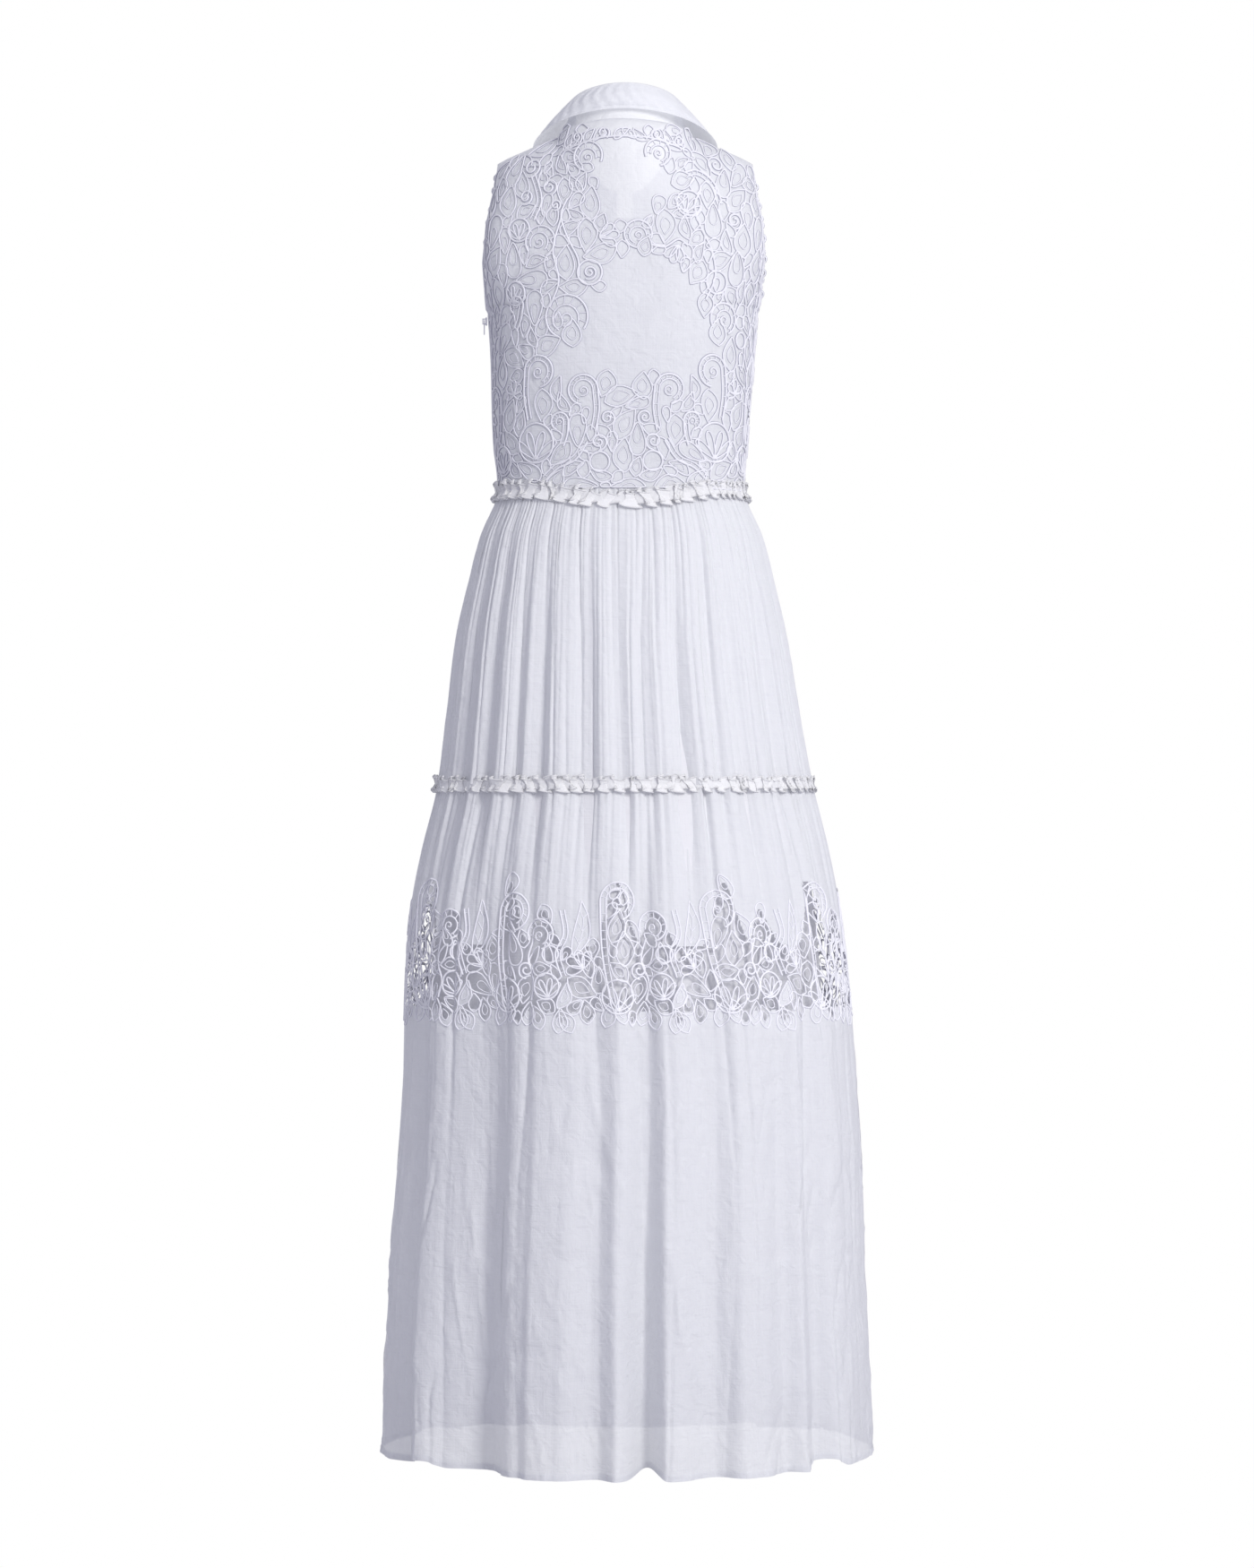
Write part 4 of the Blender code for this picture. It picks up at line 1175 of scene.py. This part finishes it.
def make_bodice(voile, cord):
    """Back and two fronts of the bodice, each with its corded lace."""
    grid = bodice_grid(*panel_angles(False), BODICE_COLUMNS, False)
    back = make_sheet("voile_bodice_back", grid, voile)
    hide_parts("bodice_back")
    surface = bodice_map(False)
    strokes = bodice_lace()
    trimmed = trim_to(strokes, surface, 1.5) + armhole_loops(surface)
    lace = cord_mesh("lace_cords_bodice_back", trimmed, surface, cord)
    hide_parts("lace_yoke_back", "lace_waist_back")
    half = BODICE_COLUMNS // 3
    surface = bodice_map(True)
    for name, first, last, side in (("left", 1.5 * pi, 2 * pi, 1), ("right", pi, 1.5 * pi, -1)):
        grid = bodice_grid(first, last, half, True)
        front = make_sheet("voile_bodice_front_" + name, grid, voile)
        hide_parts("bodice_front_" + name)
        own = []
        for points, width in strokes:
            points = points * np.array([-1.0, 1.0])
            top = FRONT_LACE_TOP_Z + FRONT_LACE_SLOPE * np.abs(points[:, 0])
            if (points[:, 0] * side).min() > PLACKET_MARGIN and (points[:, 1] < top).all():
                own.append((points, width))
        own = trim_to(own, surface, 0.5)
        lace = cord_mesh("lace_cords_bodice_front_" + name, own, surface, cord,
                         step=FRONT_CORD_STEP)
        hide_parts("lace_yoke_front_" + name, "lace_waist_front_" + name)


# ---------------------------------------------------------------- tiers

#    columns of the back and of the front
TIER_ONE_COLUMNS = (620, 320)
TIER_TWO_COLUMNS = (440, 300)
TIER_ONE_ROWS = 72
BAND_STEPS = (1.8, 2.4)
SKIRT_CORD_STEPS = (2.0, 2.8)
SKIRT_CORD_SIZE = 0.8
HEM_OFFSET = 0.6


def make_tier_one(voile, front):
    """Upper tier's panel, gathered from waist to tier seam."""
    name = "front" if front else "back"
    seam = np.array([[TIER_SEAM_Z]])
    angles, _ = even_angles(
        lambda a: tier_one(a[None, :], seam + 0 * a[None, :], front)[0],
        *panel_angles(front), TIER_ONE_COLUMNS[front])
    z = np.linspace(TIER_SEAM_Z, WAIST_Z, TIER_ONE_ROWS)[:, None] + 0 * angles[None, :]
    grid = tier_one(angles[None, :] + 0 * z, z, front)
    piece = make_sheet("voile_tier_one_" + name, grid, voile)
    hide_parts("tier_one_" + name)


def tier_two_grid(front):
    """Grid of the lower tier from hem to seam, with its heights before the hem is drawn up."""
    band = np.array([[(LACE_TOP_Z + LACE_BOTTOM_Z) / 2]])
    angles, width = even_angles(
        lambda a: tier_two(a[None, :], band + 0 * a[None, :], front)[0],
        *panel_angles(front), TIER_TWO_COLUMNS[front])
    heights = np.concatenate([
        np.linspace(HEM_Z, LACE_BOTTOM_Z - 8, 66, endpoint=False),
        np.arange(LACE_BOTTOM_Z - 8, LACE_TOP_Z + 8, BAND_STEPS[front]),
        np.linspace(LACE_TOP_Z + 8, TIER_SEAM_Z, 26),
    ])
    z = heights[:, None] + 0 * angles[None, :]
    grid = tier_two(angles[None, :] + 0 * z, z, front)
    rise = troughs(angles, HEM_RISES, front)
    low = np.clip((LACE_BOTTOM_Z - heights) / (LACE_BOTTOM_Z - HEM_Z), 0, 1) ** 3
    grid[..., 2] += low[:, None] * rise[None, :]
    return grid, heights, np.linspace(0, width, len(angles))


REPEAT = 122.0
BAND_START = 30.0


def band_repeat(index):
    """One repeat of the skirt's lace border, rising from its lower edge at height 0."""
    even = index % 2 == 0
    lean = (4, -3, 0, 6, -5)[index % 5]
    strokes, fills = [], []

    def put(motif, x, z, turn=0.0, filled=False):
        placed = place(motif, x, z, turn)
        strokes.extend(placed)
        if filled:
            fills.append(placed[0][0])

    put(hook(122 if even else 112, 19, 6.0, 11), 34, 26, lean)
    put(basket(17), 52, 34, 0)
    put(leaf(56, 17, 0.1, 3), 6, 74, -8, filled=even)
    put(leaf(30, 13), 24, 52, 30)
    put(petals(4, 20, 10, 120), 16, 62, 40)
    put(crescent(15), 92, 104 if even else 96, -8)
    put(stem([(84, 92), (78, 70), (86, 48), (82, 30)]), 0, 0)
    put(ring(8.5, CORD), 104, 76)
    put(drop(22, 10), 92, 84, 150)
    put(drop(22, 10), 100, 88, 190)
    put(basket(13), 100, 44, 10)
    put(spiral(9), 76, 60, 0)
    put(twin_curve([(116, 120), (120, 96), (112, 76), (118, 54)]), 0, 0)
    put(leaf(28, 13), 112, 22, -20, filled=True)
    for place_x, turn in ((4, 30), (20, 8), (38, -12), (58, 14), (76, -10), (94, 18), (112, -6)):
        put(leaf(25, 15, 0.05, 1), place_x, 2 + 5 * sin(place_x), turn, filled=place_x == 38)
    return strokes, fills


def band_outline(width):
    """Scalloped upper and lower edges of the open-work, as one closed outline."""
    across = np.arange(0, width + 4, 4.0)
    share = (across - BAND_START) / REPEAT % 1.0
    top = 84 + 64 * bell((share - 0.43) / 0.22) + 36 * bell((share - 0.78) / 0.2)
    bottom = 14 + 6 * np.sin(share * 2 * pi * 5)
    upper = np.stack([across, top], -1)
    lower = np.stack([across, bottom], -1)
    return np.concatenate([upper, lower[::-1]])


def band_lace(width, seed):
    """Cords of a panel's whole lace band, and the outlines that stay cloth inside them."""
    strokes, fills = [], []
    for index in range(-1, int(width / REPEAT) + 1):
        more, cloth = band_repeat(index)
        strokes += place(more, index * REPEAT + BAND_START, 0)
        fills += [outline + np.array([index * REPEAT + BAND_START, 0]) for outline in cloth]
    outline = band_outline(width)
    strokes += fill_gaps(strokes, (outline,), BAND_SMALLEST_FILL, seed)
    strokes = [(np.clip(points, (1.0, -6.0), (width - 1.0, 200.0)), cord)
               for points, cord in strokes
               if points[:, 0].max() > 2 and points[:, 0].min() < width - 2]
    return strokes, fills, outline


def make_tier_two(voile, cord, front):
    """Lower tier's panel, cut open behind its lace band, with its hem turned in."""
    name = "front" if front else "back"
    grid, heights, across = tier_two_grid(front)
    surface = ClothMap(across, heights, grid)
    strokes, fills, outline = band_lace(across[-1], 7 + front)
    middle_x = (across[1:] + across[:-1]) / 2
    middle_z = (heights[1:] + heights[:-1]) / 2 - LACE_BOTTOM_Z
    x, z = np.meshgrid(middle_x, middle_z)
    cells = np.stack([x.ravel(), z.ravel()], -1)
    open_cells = inside(cells, outline)
    for fill in fills:
        if len(fill) > 5:
            open_cells &= ~inside(cells, fill)
    piece = make_sheet("voile_tier_two_" + name, grid, voile, keep=~open_cells)
    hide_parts("tier_two_top_" + name, "tier_two_skirt_" + name)
    hem_rows = grid[:2] + surface.normals[:2] * HEM_OFFSET
    hem = make_sheet("voile_hem_" + name, hem_rows, voile)
    raised = [(points + np.array([0.0, LACE_BOTTOM_Z]), width) for points, width in strokes]
    lace = cord_mesh("lace_cords_skirt_" + name, raised, surface, cord, lift=0.1,
                     step=SKIRT_CORD_STEPS[front], size=SKIRT_CORD_SIZE)
    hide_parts("lace_band_" + name)


# ---------------------------------------------------------------- lining, ruffles

LINING_FULLNESS = 25.0
LINING_FULLEST_Z = -840.0
LINING_FULL_REACH = 330.0
LINING_FOLLOWS = 0.9
LINING_COLUMNS = 130
LINING_ROWS = 52


def make_lining(material):
    """Slip under the tiers, filled out behind the open-work band and following its main folds."""
    for name, front in (("back", False), ("front", True)):
        angles = np.linspace(*panel_angles(front), LINING_COLUMNS)[None, :]
        z = np.linspace(LINING_HEM_Z, WAIST_Z, LINING_ROWS)[:, None]
        points, outward, _ = oval(LINING_LEVELS, z + 0 * angles, angles + 0 * z)
        drop_share = (WAIST_Z - z) / (WAIST_Z - LINING_HEM_Z)
        wave = 2.5 * np.sin(angles * 17 + 2 * np.sin(z * 0.006)) * drop_share
        bulge = bell((z - LINING_FULLEST_Z) / LINING_FULL_REACH)
        pressed, _ = main_folds(angles, z, front)
        fullness = LINING_FULLNESS * np.abs(np.sin(angles)) ** 1.3
        wave = wave + (fullness - LINING_FOLLOWS * pressed) * bulge
        piece = make_sheet("voile_lining_" + name, points + outward * wave[..., None], material)
        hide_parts("lining_" + name)


WAIST_DIP = 12.0
SEAM_SMOOTHING = 25


def waist_seam(turns, rise):
    """The waist seam, which dips at the back: points at a height over it, and outward."""
    z = WAIST_Z - WAIST_DIP * np.maximum(np.sin(turns), 0) ** 8 + rise
    points, outward, _ = oval(FORM_LEVELS, z, turns)
    return points, outward


def tier_seam(turns, rise):
    """The seam between the tiers, which follows their folds."""
    z = TIER_SEAM_Z + rise
    points, outward, _ = oval(FORM_LEVELS, z, turns)
    for front in (False, True):
        on = (turns > pi) == front
        depth = tier_one_depth(turns[on][None, :], np.full((1, on.sum()), TIER_SEAM_Z), front)[0]
        padded = np.pad(depth, SEAM_SMOOTHING // 2, mode="edge")
        depth = np.convolve(padded, np.ones(SEAM_SMOOTHING) / SEAM_SMOOTHING, mode="valid")
        points[on] -= outward[on] * (depth - 0.6)[:, None]
    return points, outward


RUFFLE_ROWS = 9
RUFFLE_STEPS = 16
RUFFLE_EDGE_RADIUS = 0.8
#    name, seam, height, pleats, reach outward, cut
RUFFLES = (
    ("waist_ruffle", waist_seam, 14.0, 56, 2.1, WAIST_RUFFLE_CUT),
    ("tier_ruffle", tier_seam, 12.0, 80, 1.9, TIER_RUFFLE_CUT),
)


def ruffle_grid(seam, height, waves, reach, seed):
    """Gathered frill sewn along its middle: close pleats that lean over and curl at both edges."""
    random = np.random.default_rng(seed)
    turns = np.linspace(0, 2 * pi, waves * RUFFLE_STEPS, endpoint=False)
    places = (np.arange(waves) + random.uniform(-0.3, 0.3, waves)) / waves
    around = np.concatenate([[places[-1] - 1], places, [places[0] + 1]])
    order = np.interp(turns / (2 * pi), around, np.arange(-1, waves + 1))
    phase = 2 * pi * order
    strength = random.uniform(0.45, 1.35, waves)
    strong = np.interp(order % waves, np.arange(waves + 1), np.append(strength, strength[0]))
    lean = random.uniform(-2.0, 2.4, waves)
    leaning = np.interp(order % waves, np.arange(waves + 1), np.append(lean, lean[0]))
    stitch, _ = seam(turns, 0.0)
    period = np.linalg.norm(np.roll(stitch, -1, axis=0) - stitch, axis=1).sum() / waves
    rows = []
    for share in np.linspace(-1, 1, RUFFLE_ROWS):
        edge = abs(share)
        swing = phase + leaning * share
        rise = height / 2 * (share * (0.7 + 0.3 * strong) + 0.4 * edge * np.sin(swing + 1.1)
                             + 0.16 * (strong - 0.9))
        base, outward = seam(turns, rise)
        sideways = np.stack([-outward[:, 1], outward[:, 0], 0 * turns], -1)
        out = 0.8 + reach * (0.45 + 0.55 * edge) * strong * (1 + np.sin(swing))
        over = period * (0.15 + 0.17 * edge) * np.sin(2 * swing + 0.5) * strong
        rows.append(base + outward * out[:, None] + sideways * over[:, None])
    return np.array(rows)


def rolled_edge(name, line, radius, material, closed=True, across=(0.0, 0.0, 1.0)):
    """Thin roll of cloth along a line, where an edge is turned in and sewn."""
    if closed:
        along = unit(np.roll(line, -1, axis=0) - np.roll(line, 1, axis=0))
    else:
        along = unit(np.gradient(line, axis=0))
    side = unit(np.cross(along, np.array(across)) + 1e-9)
    up = np.cross(side, along)
    turns = np.linspace(0, 2 * pi, 4, endpoint=False)
    rings = [line + radius * (side * cos(turn) + up * sin(turn)) for turn in turns]
    grid = np.array(rings + rings[:1])
    return make_sheet(name, grid, material, closed=closed)


def make_ruffles(voile):
    """The two gathered frills, each with a rolled upper and lower edge."""
    for name, seam, height, waves, reach, cut in RUFFLES:
        grid = ruffle_grid(seam, height, waves, reach, len(name))
        frill = make_sheet(name + "_frill", grid, voile, closed=True)
        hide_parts(name)
        edges = [rolled_edge(name + "_upper_edge", grid[-1], RUFFLE_EDGE_RADIUS, voile),
                 rolled_edge(name + "_lower_edge", grid[0], RUFFLE_EDGE_RADIUS, voile)]


# ---------------------------------------------------------------- side seams and zip

SEAM_TOP_Z = UNDERARM_Z - 2.0
SEAM_BOTTOM_Z = WAIST_Z + 6.0
ZIP_TOP_Z = UNDERARM_Z - 21.0
SEAM_RADIUS = 0.7
ZIP_WELT_OFFSET = 2.4
TOOTH_PITCH = 1.8
TOOTH_HALF = np.array([0.55, 1.15, 0.5])
OUTWARD_X = (1.0, 0.0, 0.0)
BODICE_RADIUS = 138.0


def make_side_seams(voile):
    """Sewn ridge down each side of the bodice. The left one parts into two welts over the zip."""
    z = np.arange(SEAM_BOTTOM_Z, SEAM_TOP_Z, 3.0)
    for name, turn, offset in (("zip_welt_back", 0.0, ZIP_WELT_OFFSET),
                               ("zip_welt_front", 0.0, -ZIP_WELT_OFFSET),
                               ("side_seam_right", pi, 0.0)):
        line, outward, _ = oval(FORM_LEVELS, z, turn + offset / BODICE_RADIUS)
        rolled_edge("voile_" + name, line + outward * SEAM_RADIUS, SEAM_RADIUS, voile,
                    closed=False, across=OUTWARD_X)


def make_zip_teeth(metal):
    """Two interlocked rows of zip teeth, each a small block with its outer face drawn in."""
    heights = np.arange(SEAM_BOTTOM_Z, ZIP_TOP_Z, TOOTH_PITCH)
    seam, outward, sideways = oval(FORM_LEVELS, heights, 0.0 * heights)
    points, faces = [], []
    for index, (place_at, out, side) in enumerate(zip(seam, outward, sideways)):
        shift = 0.45 if index % 2 else -0.45
        for depth, narrow in ((-1.0, 1.0), (1.0, 0.62)):
            for across, up in ((-1, -1), (1, -1), (1, 1), (-1, 1)):
                points.append(place_at + out * (0.9 + depth * TOOTH_HALF[0])
                              + side * (shift + across * narrow * TOOTH_HALF[1])
                              + np.array([0.0, 0.0, up * narrow * TOOTH_HALF[2]]))
        first = 8 * index
        faces.append((first + 4, first + 5, first + 6, first + 7))
        for corner in range(4):
            after = (corner + 1) % 4
            faces.append((first + corner, first + after, first + 4 + after, first + 4 + corner))
    make_mesh("zip_teeth", points, faces, metal)


# ---------------------------------------------------------------- collar

COLLAR_FRONT_ANGLE = 8.0
FALL_SIDE_SHARE = 0.72
FALL_SIDE_Z = 10.5
FALL_BACK_Z = 40.5
FALL_BACK_DEPTH = 64.5
FALL_FRONT_DROP = 0.28
FALL_FRONT_LIFT = 10.2
# Row of stitches along the edge: its share of the way, its groove's depth and half width.
STITCH_ROW = 0.9
STITCH_GROOVE = 0.7
STITCH_REACH = 0.05
NECK_INSIDE = 0.9999
#    back, side, front
ROLL_HALF_WIDTHS = (50.0, 53.0, 57.0)
ROLL_DEPTHS = (50.0, 50.0, 78.0)
STAND_HEIGHTS = (38.5, 37.0, 24.0)
STAND_ROWS = 12
FALL_ROWS = 40
COLLAR_COLUMNS = 260
CRINKLE_WAVES = 38
#    share of the way from roll to edge, outward, up
COLLAR_PROFILE = (
    (0.0, -1.6, 0.6),
    (0.04, 0.6, 2.0),
    (0.16, 3.5, 1.6),
    (0.45, 6.0, 1.0),
    (0.75, 4.5, 0.5),
    (1.0, 0.0, 0.0),
)


def collar_blend(angle, back, side, front):
    """A size that passes from back to side to front round the neck."""
    turn = np.sin(angle)
    return np.where(turn >= 0, side + (back - side) * np.abs(turn) ** 1.5,
                    side + (front - side) * np.abs(turn) ** 1.5)


def neck_points(angle):
    """The neckline, where the collar's stand is sewn on."""
    x = NECK_HALF_WIDTH * np.cos(angle)
    back_y, back_z = bodice_top(x * NECK_INSIDE, False)
    front_y, front_z = bodice_top(x * NECK_INSIDE, True)
    front = np.sin(angle) < 0
    return np.stack([x, np.where(front, front_y, back_y), np.where(front, front_z, back_z)], -1)


def roll_points(angle):
    """The line where the stand turns over into the fall."""
    half_width = collar_blend(angle, *ROLL_HALF_WIDTHS)
    y = np.sin(angle) * collar_blend(angle, *ROLL_DEPTHS)
    height = collar_blend(angle, *STAND_HEIGHTS)
    return np.stack([half_width * np.cos(angle), y, neck_points(angle)[..., 2] + height], -1)


def fall_edge_points(angle):
    """The fall's outer edge: over the shoulders at the back, and lying on the chest in front."""
    turn = np.sin(angle)
    side_x = FALL_SIDE_SHARE * SHOULDER_TIP_X * np.cos(angle)
    rise_up = np.maximum(turn, 0) ** 1.3
    back = np.stack([side_x, np.maximum(turn, 0) * FALL_BACK_DEPTH,
                     FALL_SIDE_Z + (FALL_BACK_Z - FALL_SIDE_Z) * rise_up], -1)
    share = FALL_SIDE_SHARE * np.abs(np.cos(angle))
    panel = np.arccos(share ** (BODY_POWER / 2))
    panel = np.where(np.cos(angle) >= 0, 2 * pi - panel, pi + panel)
    rise = np.minimum(1 + FALL_FRONT_DROP * np.minimum(turn, 0), 0.995)
    edge = bodice(rise, panel, True) + bodice_normals(rise, panel, True) * FALL_FRONT_LIFT
    settle = np.clip(-turn / 0.5, 0, 1)[..., None]
    return np.where((turn >= 0)[..., None], back, back * (1 - settle) + edge * settle)


def make_collar(voile):
    """Collar of two pieces: the stand, and the fall with its crinkles and its row of stitches."""
    angles = np.linspace(radians(COLLAR_FRONT_ANGLE - 90), radians(270 - COLLAR_FRONT_ANGLE),
                         COLLAR_COLUMNS)
    low, top = neck_points(angles), roll_points(angles)
    outward = np.stack([np.cos(angles), np.sin(angles), 0 * angles], -1)
    rows = [low + (top - low) * share - outward * (1.5 - 0.6 * sin(pi * share))
            for share in np.linspace(0, 1, STAND_ROWS)]
    stand = make_sheet("voile_collar_stand", np.array(rows), voile)
    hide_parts("collar_stand")
    profile = np.array(COLLAR_PROFILE)
    edge = fall_edge_points(angles)
    rows = []
    for share in 1 - np.linspace(0, 1, FALL_ROWS) ** 1.2:
        out = np.interp(share, profile[:, 0], profile[:, 1])
        lift = np.interp(share, profile[:, 0], profile[:, 2])
        crinkle = 0.7 * np.sin(angles * CRINKLE_WAVES + 3 * np.sin(share * 5))
        crinkle = crinkle * np.sin(share * pi) ** 0.5 * (0.5 + 0.5 * np.cos(angles - 0.4))
        bulge = out * (0.15 + 0.85 * np.sin(angles) ** 2) + 0.6
        bulge = bulge - STITCH_GROOVE * bell((share - STITCH_ROW) / STITCH_REACH)
        row = top + (edge - top) * share + outward * (bulge + crinkle)[:, None]
        row[:, 2] += lift + 0.6
        rows.append(row)
    fall = make_sheet("voile_collar_fall", np.array(rows), voile)
    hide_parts("collar_fall")


# ---------------------------------------------------------------- stage, light and camera

# The camera stands behind the dress, level with its middle.
CAMERA_PLACE = (-0.00186, 4.4, -0.650)
CAMERA_LENS = 97.33
FLOOR_SIZE = 60.0
FLOOR_DROP = 0.012
PAPER = "#C4C4CC"
SEEN_WHITE = "#FFFFFF"
SKY_FILL = "#E4E4F2"
SKY_STRENGTH = 0.67
LAMP_COLOUR = "#FFFEFC"
LAMP_SIZE = (0.9, 1.6)
LAMP_TARGET = (0, 0, -0.65)
#    name, place, power
LAMPS = (
    ("key", (-2.1, 3.4, 1.0), 117),
    ("front_key", (1.4, -3.7, 1.0), 50),
)


def seen_as(tree, lit, seen):
    """One shader that lights the dress, and another that is what the eye sees."""
    path = add(tree, "ShaderNodeLightPath")
    return blend(tree, path.outputs["Is Camera Ray"], lit, seen)


def make_stage():
    """Seamless pale paper floor under the hem."""
    material, tree = new_material("paper_floor_matt_white")
    paper = add(tree, "ShaderNodeBsdfDiffuse", [("Color", linear(PAPER))])
    glow = add(tree, "ShaderNodeEmission", [("Color", linear(SEEN_WHITE)), ("Strength", 1.0)])
    surface_of(tree, seen_as(tree, paper, glow))
    bpy.ops.mesh.primitive_plane_add(size=FLOOR_SIZE, location=(0, 0, cad_box[0][2] - FLOOR_DROP))
    floor = bpy.context.object
    floor.name = "floor"
    floor.data.materials.append(material)


def make_lamps():
    """Two upright soft boxes: the key behind the dress, and a weaker one before it."""
    for name, place_at, power in LAMPS:
        lamp = bpy.data.lights.new(name, "AREA")
        lamp.shape = "RECTANGLE"
        lamp.size, lamp.size_y = LAMP_SIZE
        lamp.energy = power
        lamp.color = linear(LAMP_COLOUR)[:3]
        light = bpy.data.objects.new(name, lamp)
        bpy.context.scene.collection.objects.link(light)
        light.location = place_at
        away = np.array(place_at) - np.array(LAMP_TARGET)
        light.rotation_euler = Vector(away).to_track_quat("Z", "Y").to_euler()


def make_world():
    """Even cool fill light from all sides, before a white that is only seen."""
    world = bpy.data.worlds.new("studio")
    bpy.context.scene.world = world
    world.use_nodes = True
    tree = world.node_tree
    tree.nodes.clear()
    seen = add(tree, "ShaderNodeBackground", [("Color", linear(SEEN_WHITE)), ("Strength", 1.0)])
    fill = add(tree, "ShaderNodeBackground", [
        ("Color", linear(SKY_FILL)), ("Strength", SKY_STRENGTH)])
    surface_of(tree, seen_as(tree, fill, seen), "World")
    bpy.context.scene.view_settings.view_transform = "Standard"


def make_camera():
    camera = bpy.data.cameras.new("camera")
    camera.lens = CAMERA_LENS
    seat = bpy.data.objects.new("camera", camera)
    seat.location = CAMERA_PLACE
    seat.rotation_euler = (radians(90), 0, radians(180))
    bpy.context.scene.collection.objects.link(seat)
    bpy.context.scene.camera = seat


# ---------------------------------------------------------------- the whole dress

#    name, colour, shade, see-through, light let through, crumple
# Single layer of crinkled voile, through which the slip shows faintly.
DRESS_VOILE = ("cotton_voile_woven", "#F7F8FA", "#EDEDF3", 0.11, 0.28, 0.5)
# The slip's closer weave: smoother, brighter and hardly sheer.
LINING_VOILE = ("lining_voile_woven", "#FAFAFC", "#F2F2F6", 0.04, 0.3, 0.2)
# Voile in close pleats, so that its layers together look white and solid.
GATHERED_VOILE = ("cotton_voile_gathered", "#FFFFFF", "#F8F8FB", 0.0, 0.3, 0.3)
#    name, colour, painted edge shadow
# Cord sewn on cloth, with a painted grey shadow line along both its edges.
SEWN_CORD = ("cotton_cord_satin_stitched", "#EEEEF3", "#84849C")
# Cord of the open-work, with nothing under it, and a paler painted shadow along its edges.
OPEN_CORD = ("cotton_cord_open_work", "#F6F6FA", "#C2C2D0")
ENAMEL = ("zip_metal_enamelled", "#E6E5EE")


def main():
    voile = voile_material(*DRESS_VOILE)
    lining = voile_material(*LINING_VOILE)
    frill = voile_material(*GATHERED_VOILE)
    cord = cord_material(*SEWN_CORD)
    open_cord = cord_material(*OPEN_CORD)
    metal = metal_material(*ENAMEL)
    make_bodice(voile, cord)
    for front in (False, True):
        make_tier_one(voile, front)
    for front in (False, True):
        make_tier_two(voile, open_cord, front)
    make_lining(lining)
    make_ruffles(frill)
    make_side_seams(voile)
    make_zip_teeth(metal)
    make_collar(voile)
    for name in ("zip_slider", "zip_pull"):
        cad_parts[name].data.materials.clear()
        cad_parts[name].data.materials.append(metal)
    make_stage()
    make_world()
    make_lamps()
    make_camera()


main()
